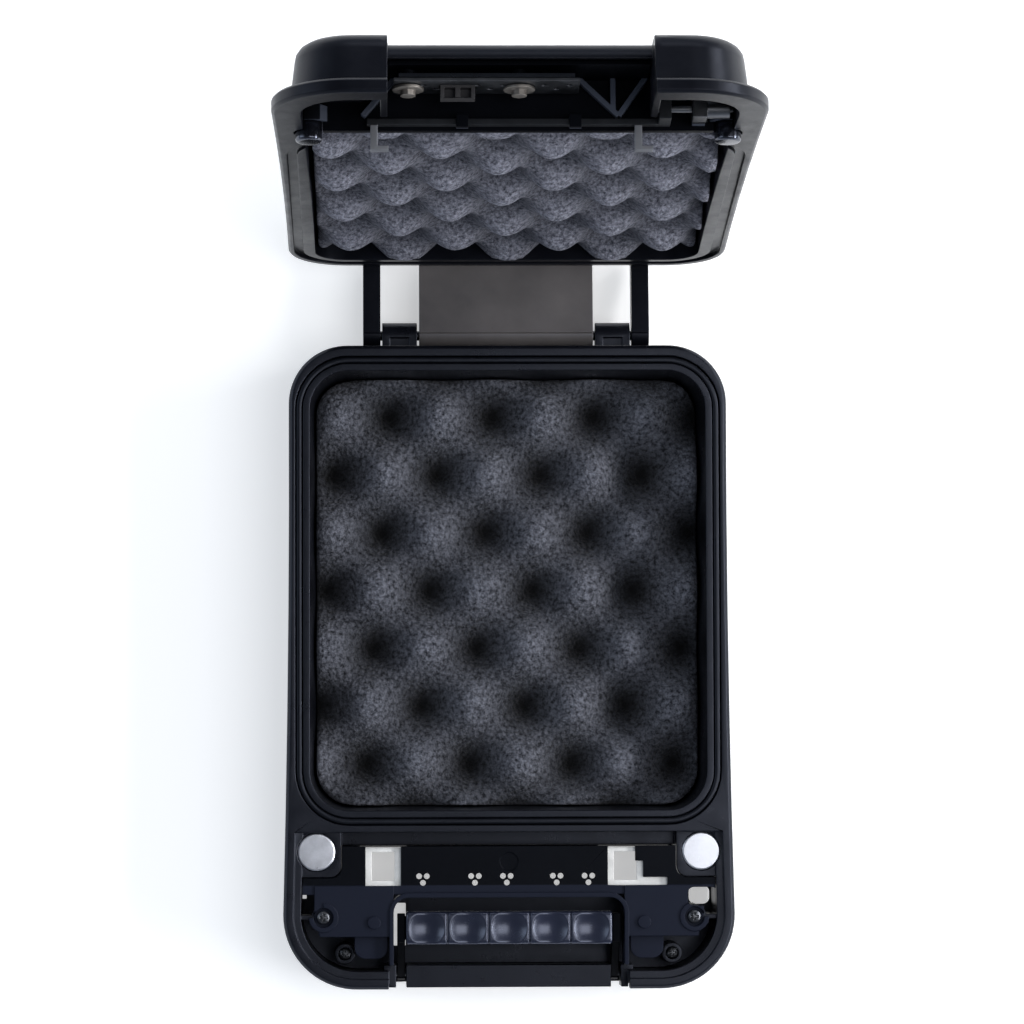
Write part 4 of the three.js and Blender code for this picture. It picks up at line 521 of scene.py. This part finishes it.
def machined(name, shade, roughness):
    """Turned metal: rings that follow the piece's own radius, over drifting roughness."""
    material, surface, place = blank(name)
    radius = node(material, "ShaderNodeAttribute", attribute_name="radius").outputs["Fac"]
    sockets = {"W": radius, "Scale": 3200, "Detail": 3.0}
    rings = node(material, "ShaderNodeTexNoise", sockets, noise_dimensions="1D").outputs["Fac"]
    clouds = noise(material, place, scale=160, detail=5, rough=0.65)
    tarnish = between(material, clouds, 0, 1)
    feed(material, surface, {
        "Base Color": mixed(material, tarnish, toned(shade, 0.8), shade),
        "Roughness": between(material, clouds, roughness - 0.05, roughness + 0.07),
        "Normal": relief(material, rings, strength=0.06, depth=0.0001),
        "Metallic": 1.0,
    })
    return material


def note_radius(piece, middle):
    """Keeps each point's distance from the axis, which the turning rings follow."""
    points = np.empty(3 * len(piece.data.vertices), np.float32)
    piece.data.vertices.foreach_get("co", points)
    points = points.reshape(-1, 3)
    far = np.hypot(points[:, 0] - middle[0], points[:, 1] - middle[1]).astype(np.float32)
    piece.data.attributes.new("radius", "FLOAT", "POINT").data.foreach_set("value", far)


turned_nickel = machined("turned_nickel", linear(233, 236, 246), roughness=0.32)
LEFT_AND_RIGHT = (("left", -1), ("right", 1))
DISC_SIDE, DISC_Y = 0.0872, -0.084
DISC_FOOT, DISC_TOP, DISC_RADIUS, DISC_FACE, DISC_HOLLOW = 0.0407, 0.042, 0.0086, 0.0081, 0.00005
disc_rows = [(0, DISC_FOOT), (DISC_RADIUS - 0.0003, DISC_FOOT), (DISC_RADIUS, DISC_FOOT + 0.0002)]
disc_rows += [(DISC_RADIUS, 0.0414), (0.00842, 0.04178)]
disc_rows += [
    (r, DISC_TOP - DISC_HOLLOW * (r / DISC_FACE) ** 2) for r in np.linspace(DISC_FACE, 0.0006, 16)
]
disc_rows += [(0, DISC_TOP)]
for side, way in LEFT_AND_RIGHT:
    middle = (DISC_SIDE * way, DISC_Y, 0)
    disc = turned("closing_disc_cap_" + side, disc_rows, middle)
    note_radius(disc, middle)
    show(disc, "base", turned_nickel)
    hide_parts("closing_disc_" + side)


# Deck screws and pins: dark zinc-plated pan heads with cross recesses. A head is a polar grid
# whose height is a shallow dome, less a cross that fades in at its flanks.
def screw_head(name, x, y, seat, radius, height, shank, stem):
    """Height over the head: height * (1 - 0.45 (r / R)^2.4), less 0.55 height inside the cross."""
    across = 72
    flank = 0.00012
    angle = np.linspace(0, 2 * math.pi, across, endpoint=False)
    r = np.linspace(0.02, 1, 22)[:, None] * radius
    px, py = np.abs(r * np.cos(angle)), np.abs(r * np.sin(angle))
    dome = height * (1 - 0.45 * (r / radius) ** 2.4)

    def fade(gap):
        return 1 / (1 + np.exp(np.clip(gap / flank * 4, -30, 30)))

    arm, reach = radius * 0.17, radius * 0.6
    cross = np.maximum(fade(px - reach) * fade(py - arm), fade(py - reach) * fade(px - arm))
    top = dome - 0.55 * height * cross
    below = np.array([[radius, 0.02 * height], [radius * 0.97, 0], [stem, 0], [stem, -shank]])
    far = np.concatenate([r, below[:, :1]])
    level = np.concatenate([top, below[:, 1:] * np.ones((1, across))])
    points = np.stack([x + far * np.cos(angle), y + far * np.sin(angle), seat + level], -1)
    ends = np.array([[x, y, seat + top[0].mean()], [x, y, seat - shank]])
    faces = [face[::-1] for face in turned_faces(len(points), across)]
    return mesh_of(name, np.concatenate([points.reshape(-1, 3), ends]), faces)


dark_zinc = plated(
    "dark_zinc", linear(96, 98, 103), roughness=0.36, streak=(500, 500, 500), lined=0.05
)
for side, way in LEFT_AND_RIGHT:
    screw = screw_head(
        "deck_screw_head_" + side, x=0.084 * way, y=-0.1136, seat=0.0422,
        radius=0.0029, height=0.002, shank=0.001, stem=0.00145,
    )
    show(screw, "base", dark_zinc)
    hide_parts("deck_screw_" + side)
    pin = screw_head(
        "deck_pin_head_" + side, x=0.0745 * way, y=-0.1303, seat=0.0303,
        radius=0.0025, height=0.0015, shank=0.0043, stem=0.00125,
    )
    show(pin, "base", dark_zinc)
    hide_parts("deck_pin_" + side)

# Hinge pins and handle pins: plain ground steel rods, the hinge's seen in the gaps between the
# knuckles and the lid's arms.
for name in ("hinge_pin_left", "hinge_pin_right", "handle_pin_left", "handle_pin_right"):
    skin(name, dark_zinc, radius=0.00015, limit=40)

# Feet: four round rubber pads glued in recesses of the underside. Each is a turned profile
# with a soft edge.
foot_rubber = moulded(
    "foot_rubber", linear(30, 30, 33), roughness=0.75, grain=1800, spark=0.4, gloss=0.25
)
FOOT_X, FOOT_Y = 0.074, 0.112
foot_rows = [(0, -0.0015), (0.0066, -0.0015), (0.0074, -0.0013), (0.0079, -0.0008)]
foot_rows += [(0.008, -0.0002), (0.008, 0.0007), (0, 0.0007)]
for end, way_y in (("rear", 1), ("front", -1)):
    for side, way in LEFT_AND_RIGHT:
        name = end + "_foot_" + side
        foot = turned(name + "_pad", foot_rows, (FOOT_X * way, FOOT_Y * way_y, 0), across=64)
        show(foot, "base", foot_rubber)
        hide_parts(name)

# Carrying handle: a moulded bar with two arms that hang on the pins, under a rubber grip. The bar
# keeps the solid's shape with rounded edges, in a dull black polymer.
dull_polymer = moulded(
    "dull_polymer", linear(4, 5, 8), roughness=0.5, grain=2100, spark=0.12, gloss=0.08
)
skin("handle_bar", dull_polymer, radius=0.0003)


# Handle grip: black rubber over the bar, five square pads with a round dish each and a groove
# between them. Its section is a box with a channel below, carried along the bar; a dish is as
# deep as 2.2 mm times 1 - (distance / 8.2 mm)^2.
def evenly(path, count):
    """Count points at even distances along a path of points."""
    path = np.asarray(path, float)
    gone = np.concatenate([[0], np.cumsum(np.hypot(*np.diff(path, axis=0).T))])
    wanted = np.linspace(0, gone[-1], count)
    return np.stack([np.interp(wanted, gone, path[:, 0]), np.interp(wanted, gone, path[:, 1])], 1)


grip_rubber = moulded(
    "grip_rubber", linear(28, 31, 45),
    roughness=0.24, grain=1900, spark=0.08, gloss=1.0, spread=0.05,
)
GRIP_Y, GRIP_Z, GRIP_END = -0.1185, 0.036, 0.0468
HALF_DEPTH, HALF_HEIGHT, CHANNEL_HALF, CHANNEL_TOP = 0.0075, 0.007, 0.0055, 0.0027
END_LENGTH, END_ROUND = 0.0012, 0.001
PAD_PITCH, DISH_RADIUS, DISH_DEPTH = 0.018626, 0.0082, 0.0022
GROOVE_DEPTH, GROOVE_HALF = 0.0009, 0.00042
DISH_SOFTNESS, CROWN_FOOT, CROWN_FADE = 0.0006, 0.0015, 0.004
outside, channel = 120, 26
swing = np.linspace(math.pi, 0, 3000)
crown_y = HALF_DEPTH * squared(np.cos(swing), 0.25)
crown_z = HALF_HEIGHT * squared(np.sin(swing), 0.25)
left_flank = np.array([[-0.0069, -HALF_HEIGHT], [-0.0073, -0.0068], [-HALF_DEPTH, -0.0064]])
right_flank = (left_flank * [-1, 1])[::-1]
outer = [left_flank, np.stack([crown_y, crown_z], 1), right_flank]
inner = [
    [CHANNEL_HALF, -HALF_HEIGHT], [CHANNEL_HALF, CHANNEL_TOP],
    [-CHANNEL_HALF, CHANNEL_TOP], [-CHANNEL_HALF, -HALF_HEIGHT],
]
section = np.concatenate([evenly(np.concatenate(outer), outside), evenly(inner, channel)])
end_rows = GRIP_END - END_LENGTH * (1 - np.sin(np.linspace(0, math.pi / 2, 9)))
straight = np.linspace(-0.0455, 0.0455, 380)
x = np.concatenate([-end_rows[::-1], straight, end_rows])
y = np.repeat(section[None, :, 0], len(x), 0)
z = np.repeat(section[None, :, 1], len(x), 0)
into = np.clip((np.abs(x) - GRIP_END + END_LENGTH) / END_LENGTH, 0, 1)[:, None]
round_off = END_ROUND * (1 - np.sqrt(1 - into**2))
y[:, :outside] -= y[:, :outside] * round_off / HALF_DEPTH
z[:, :outside] -= np.clip(z[:, :outside] / HALF_HEIGHT, 0, 1) * round_off
pad_middle = (np.round(np.clip(x / PAD_PITCH, -2, 2)) * PAD_PITCH)[:, None]
inside = 1 - ((x[:, None] - pad_middle) ** 2 + y**2) / DISH_RADIUS**2
dish = DISH_DEPTH * (inside + np.sqrt(inside**2 + DISH_SOFTNESS)) / 2
gap = np.abs(np.abs(np.abs(x[:, None]) - PAD_PITCH) - PAD_PITCH / 2)
groove = GROOVE_DEPTH / (1 + (gap / GROOVE_HALF) ** 6)
count = outside + channel
face_up = np.clip((z - CROWN_FOOT) / CROWN_FADE, 0, 1) * (np.arange(count) < outside)
z -= face_up * np.maximum(dish, groove)
points = np.stack([np.repeat(x[:, None], count, 1), GRIP_Y + y, GRIP_Z + z], -1)
faces = [face[::-1] for face in grid_faces(len(x), count, False, True)]
last = count * (len(x) - 1)
faces += [list(range(count)), list(range(last + count - 1, last - 1, -1))]
grip = mesh_of("handle_grip_cover", points, faces)
show(grip, "handle", grip_rubber)
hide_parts("handle_grip")

# Lid shell: the upper half of the case in the same polymer, a shade duller, standing open. Its rim,
# its inset cap, the handle's notch and the arms come from one mould, with rounds like the base's.
lid_polymer = moulded(
    "lid_polymer", linear(8, 9, 14), roughness=0.34, grain=1500, spark=0.1, gloss=0.22
)
HINGE = Vector((0, 0.153, 0.0151))
OPENING = (
    Matrix.Translation(HINGE)
    @ Matrix.Rotation(math.radians(-98), 4, "X")
    @ Matrix.Translation(-HINGE)
)
skin("lid_shell", lid_polymer, radius=0.00035, corners=OPENING)

# Hinge flap: the wide satin plate between the lid's arms, with a rib down each side and a barrel
# round the hinge's axis.
flap_polymer = moulded(
    "flap_polymer", linear(88, 84, 83),
    roughness=0.32, grain=1700, spark=0.08, gloss=0.5, spread=0.05,
)
skin("hinge_flap", flap_polymer, radius=0.0004)

# Bay frame: the cross wall of the lid, the V of thin ribs, its struts and its cover plate, one
# moulding in a dull black polymer, painted paler on the ribs as a painted highlight. It is screwed
# to the lid from inside.
bay_polymer = moulded(
    "bay_polymer", linear(4, 5, 8), roughness=0.5, grain=2100, spark=0.12, gloss=0.06
)
rib_highlight_limits = [
    ((0, -1, 0), 0.0872, 0.0875),
    ((0, 1, 0), -0.0908, -0.0906),
    ((0, 0, -1), -0.0682, -0.068),
]
# painted highlight: the ribs are painted paler, as if lit
two_tone(bay_polymer, linear(62, 66, 76), rib_highlight_limits, OPENING)
skin("bay_frame", bay_polymer, radius=0.00025)

# Closing posts: glossy black posts beside the foam, each turned with a round tip that lands on
# its disc when the lid is shut.
gloss_polymer = moulded(
    "gloss_polymer", linear(14, 15, 20),
    roughness=0.16, grain=900, spark=0.05, gloss=1.0, spread=0.04,
)
POST_RADIUS, POST_ROUND, POST_HEIGHT, POST_FOOT = 0.0056, 0.0014, 0.0147, 0.0423
tip_out = POST_ROUND * np.sin(np.radians(np.linspace(0, 90, 9)))
tip_up = POST_ROUND * (1 - np.cos(np.radians(np.linspace(0, 90, 9))))
post_rows = [(0, 0), *zip(POST_RADIUS - POST_ROUND + tip_out, tip_up)]
post_rows += [(POST_RADIUS, POST_HEIGHT), (0, POST_HEIGHT)]
for side, way in LEFT_AND_RIGHT:
    post = turned("closing_post_cap_" + side, post_rows, (DISC_SIDE * way, DISC_Y, POST_FOOT))
    post.data.transform(OPENING)
    show(post, "lid", gloss_polymer)
    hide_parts("closing_post_" + side)

# Lid foam: the same egg-crate in a paler grey, glued to the lid's roof. Its crests stand a few
# millimetres out of the rim inside the cavity's outline and are pressed flat elsewhere.
pale_foam = open_foam("pale_foam", linear(45, 46, 54), linear(161, 162, 175))
lid_pad = egg_crate(
    "lid_foam_pad", seed=23, half_width=0.086, rear=0.1334, front=-0.0826, radius=0.0144,
    back=0.0717, way=-1, thickness=0.028, wave=0.014, crest_x=0.0006, crest_y=0.131, lean=0.05,
)
CLEAR_SIDE, CLEAR_REAR, CLEAR_FRONT = 0.0845, 0.129, -0.0595
PRESSED_LEVEL, CREST_DROP, PRESSED_EDGE = 0.0467, 0.004, 0.002
points = np.empty(3 * len(lid_pad.data.vertices), np.float32)
lid_pad.data.vertices.foreach_get("co", points)
points = points.reshape(-1, 3)
past_end = np.maximum(points[:, 1] - CLEAR_REAR, CLEAR_FRONT - points[:, 1])
past = np.maximum(np.abs(points[:, 0]) - CLEAR_SIDE, past_end)
lowest = PRESSED_LEVEL - CREST_DROP * np.clip(-past / PRESSED_EDGE, 0, 1)
points[:, 2] = np.maximum(points[:, 2], lowest)
lid_pad.data.vertices.foreach_set("co", points.ravel())
lid_pad.data.transform(OPENING)
show(lid_pad, "lid", pale_foam)
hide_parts("lid_foam")

# Lock works under the bay frame: a pressed steel chassis with a row of small holes, the sliding
# strip with its hooks, and the gear motor that drives it by a screw.
works_steel = plated(
    "works_steel", linear(88, 90, 95), roughness=0.42, streak=(60, 700, 700), lined=0.04
)
skin("latch_chassis", works_steel, radius=0.0002)
black_oxide = plated(
    "black_oxide", linear(52, 54, 58), roughness=0.5, streak=(60, 700, 700), lined=0.04
)
hook_limits = [((0, 0, -1), -0.048, -0.0476)]
two_tone(black_oxide, linear(135, 137, 143), hook_limits, OPENING)
skin("latch_slide", black_oxide, radius=0.0002)
skin("lead_screw", dark_zinc, radius=0)
skin("lock_motor", dark_zinc, radius=0.0003)

# Control board, its connector and the washer-head screws: a board in black solder mask behind
# the chassis, a dull grey housing with two holes, and dull plated screws.
solder_mask = moulded(
    "solder_mask", linear(14, 16, 19), roughness=0.3, grain=800, spark=0.1, gloss=0.5
)
housing_nylon = moulded(
    "housing_nylon", linear(50, 48, 47), roughness=0.6, grain=1500, spark=0.2, gloss=0.3
)
dull_zinc = plated(
    "dull_zinc", linear(148, 143, 138), roughness=0.5, streak=(500, 500, 500), lined=0.06
)
skin("control_board", solder_mask, radius=0.0001)
skin("board_connector", housing_nylon, radius=0.0002)
for side in ("left", "right"):
    skin("chassis_screw_" + side, dull_zinc, radius=0.0002)

# Battery: a pack in a blue-grey sleeve in the lid's left corner, under a moulded cover that is
# held by one screw. All three keep the solids' shapes with rounded edges.
battery_sleeve = moulded(
    "battery_sleeve", linear(34, 44, 66), roughness=0.35, grain=700, spark=0.1, gloss=0.5
)
skin("battery_pack", battery_sleeve, radius=0.0004)
skin("battery_cover", deck_polymer, radius=0.0003)
skin("battery_cover_screw", dark_zinc, radius=0.0002)

# Keypad: a raised plate on the lid's top in the deck's polymer, with four blank rubber buttons
# that have soft edges and a small red lens.
skin("keypad_plate", deck_polymer, radius=0.0003)
button_rubber = moulded(
    "button_rubber", linear(38, 39, 43), roughness=0.6, grain=1600, spark=0.25, gloss=0.3
)
for count in (1, 2, 3, 4):
    skin("key_button_%d" % count, button_rubber, radius=0.0005, limit=40, rounds=3)
red_lens = moulded(
    "red_lens", linear(150, 22, 18),
    roughness=0.12, grain=400, spark=0.02, gloss=0.5, spread=0.02,
)
skin("status_lens", red_lens, radius=0.0003, limit=50, rounds=3)

# Override lock: a barrel with a flange on the lid's top and a turning plug with the key's slot,
# both nickel-plated. They keep the solids' shapes with rounded edges.
nickel = plated("nickel_plate", linear(236, 235, 233), roughness=0.34)
skin("lock_housing", nickel, radius=0.0003, limit=40)
skin("key_plug", nickel, radius=0.0002, limit=40)

# Floor: one pale sheet under the feet. Some light of its own, more of it far from the safe, makes
# it white to the camera and in gloss, and it keeps the safe's shadow.
FLOOR_HALF, FLOOR_LEVEL, FLOOR_SHADE = 4, -0.0015, 0.86
floor_paint = bpy.data.materials.new("floor_paint")
floor_paint.use_nodes = True
floor_paint.node_tree.nodes.clear()
ray = node(floor_paint, "ShaderNodeLightPath")
seen = ray.outputs["Is Camera Ray"]
for kind in ("Is Glossy Ray", "Is Transmission Ray"):
    seen = maths(floor_paint, "MAXIMUM", seen, ray.outputs[kind])
place = node(floor_paint, "ShaderNodeTexCoord").outputs["Object"]
away = node(floor_paint, "ShaderNodeVectorMath", {0: place}, operation="LENGTH").outputs["Value"]
own_light = mapped(floor_paint, away, start=0.5, end=1.4, low=0.45, high=1.0)
glow = maths(floor_paint, "MULTIPLY", seen, own_light)
shade = (FLOOR_SHADE, FLOOR_SHADE, FLOOR_SHADE, 1)
matte = node(floor_paint, "ShaderNodeBsdfDiffuse", {"Color": shade})
light = node(floor_paint, "ShaderNodeEmission", {"Color": (1, 1, 1, 1), "Strength": glow})
sockets = {0: matte.outputs[0], 1: light.outputs[0]}
total = node(floor_paint, "ShaderNodeAddShader", sockets).outputs[0]
node(floor_paint, "ShaderNodeOutputMaterial", {"Surface": total})
floor_mesh = bpy.data.meshes.new("floor_sheet")
corners = [
    (FLOOR_HALF * way_x, FLOOR_HALF * way_y, FLOOR_LEVEL)
    for way_x, way_y in ((-1, -1), (1, -1), (1, 1), (-1, 1))
]
floor_mesh.from_pydata(corners, [], [(0, 1, 2, 3)])
floor_mesh.materials.append(floor_paint)
floor_sheet = bpy.data.objects.new("floor_sheet", floor_mesh)
bpy.context.scene.collection.objects.link(floor_sheet)

# Room light: an even, slightly cool world, white to the camera and near the horizon in gloss and
# dimmer overhead, with a soft key from the right, a weak fill from the left and a strip behind.
COOL, WHITE = (0.78, 0.87, 1.0, 1), (1, 1, 1, 1)
ROOM_LEVEL, HORIZON_LEVEL, OVERHEAD_LEVEL = 0.42, 0.75, 0.1
world = bpy.data.worlds.new("pale_room")
bpy.context.scene.world = world
world.use_nodes = True
world.node_tree.nodes.clear()
ray = node(world, "ShaderNodeLightPath")
heading = node(world, "ShaderNodeTexCoord").outputs["Generated"]
climb = node(world, "ShaderNodeSeparateXYZ", {"Vector": heading}).outputs["Z"]
gloss_sky = mapped(world, climb, start=0.1, end=0.8, low=HORIZON_LEVEL, high=OVERHEAD_LEVEL)
sockets = {0: ray.outputs["Is Glossy Ray"], 2: ROOM_LEVEL, 3: gloss_sky}
unseen = node(world, "ShaderNodeMix", sockets, data_type="FLOAT").outputs[0]
level = maths(world, "MAXIMUM", unseen, ray.outputs["Is Camera Ray"])
tint = mixed(world, ray.outputs["Is Camera Ray"], COOL, WHITE)
air = node(world, "ShaderNodeBackground", {"Color": tint, "Strength": level}).outputs[0]
node(world, "ShaderNodeOutputWorld", {"Surface": air})


def softbox(name, place, aim, width, height, power, colour=(1, 1, 1)):
    """A rectangular lamp at a place, turned to face its aim."""
    lamp = bpy.data.lights.new(name, "AREA")
    lamp.shape = "RECTANGLE"
    lamp.size, lamp.size_y, lamp.energy, lamp.color = width, height, power, colour
    holder = bpy.data.objects.new(name, lamp)
    holder.location = place
    holder.rotation_euler = (Vector(aim) - Vector(place)).to_track_quat("-Z", "Y").to_euler()
    bpy.context.scene.collection.objects.link(holder)


softbox("key_right", (1.9, 0.2, 1.1), aim=(0, 0.05, 0.05), width=2.6, height=0.4, power=52)
softbox("overhead_right", (0.85, 0.0, 2.1), aim=(0.1, 0, 0), width=1.1, height=1.4, power=13)
softbox(
    "fill_left", (-1.9, 0.4, 1.3), aim=(0, 0, 0.1), width=1.0, height=1.4, power=7,
    colour=(0.8, 0.9, 1.0),
)
softbox("strip_behind", (0.2, 1.9, 1.4), aim=(0, 0.1, 0.1), width=1.6, height=0.5, power=5)

# Camera: above the safe and a little to the left of its middle, level with the divider. Its turn
# and distance come from a fit to the rim, the discs and the lid's edges.
PICTURE_WIDTH, FOCAL_LENGTH, SENSOR = 1024, 5027.21, 36
RIM_MIDDLE = Vector((0, 0, 0.046))
RIM_IN_CAMERA = Vector((-0.00157, -0.06984, -2.27953))
lean_x, lean_y, lean_z = (math.radians(turn) for turn in (-3.14, 1.43, 0.112))
to_camera = (
    Matrix.Rotation(lean_z, 3, "Z")
    @ Matrix.Rotation(lean_y, 3, "Y")
    @ Matrix.Rotation(lean_x, 3, "X")
)
from_camera = to_camera.transposed()
place = RIM_MIDDLE - from_camera @ RIM_IN_CAMERA
view = bpy.data.cameras.new("product_view")
view.sensor_width = SENSOR
view.lens = SENSOR * FOCAL_LENGTH / PICTURE_WIDTH
view.clip_start, view.clip_end = 0.05, 30
camera = bpy.data.objects.new("product_view", view)
camera.matrix_world = Matrix.Translation(place) @ from_camera.to_4x4()
bpy.context.scene.collection.objects.link(camera)
bpy.context.scene.camera = camera
bpy.context.scene.view_settings.view_transform = "Standard"
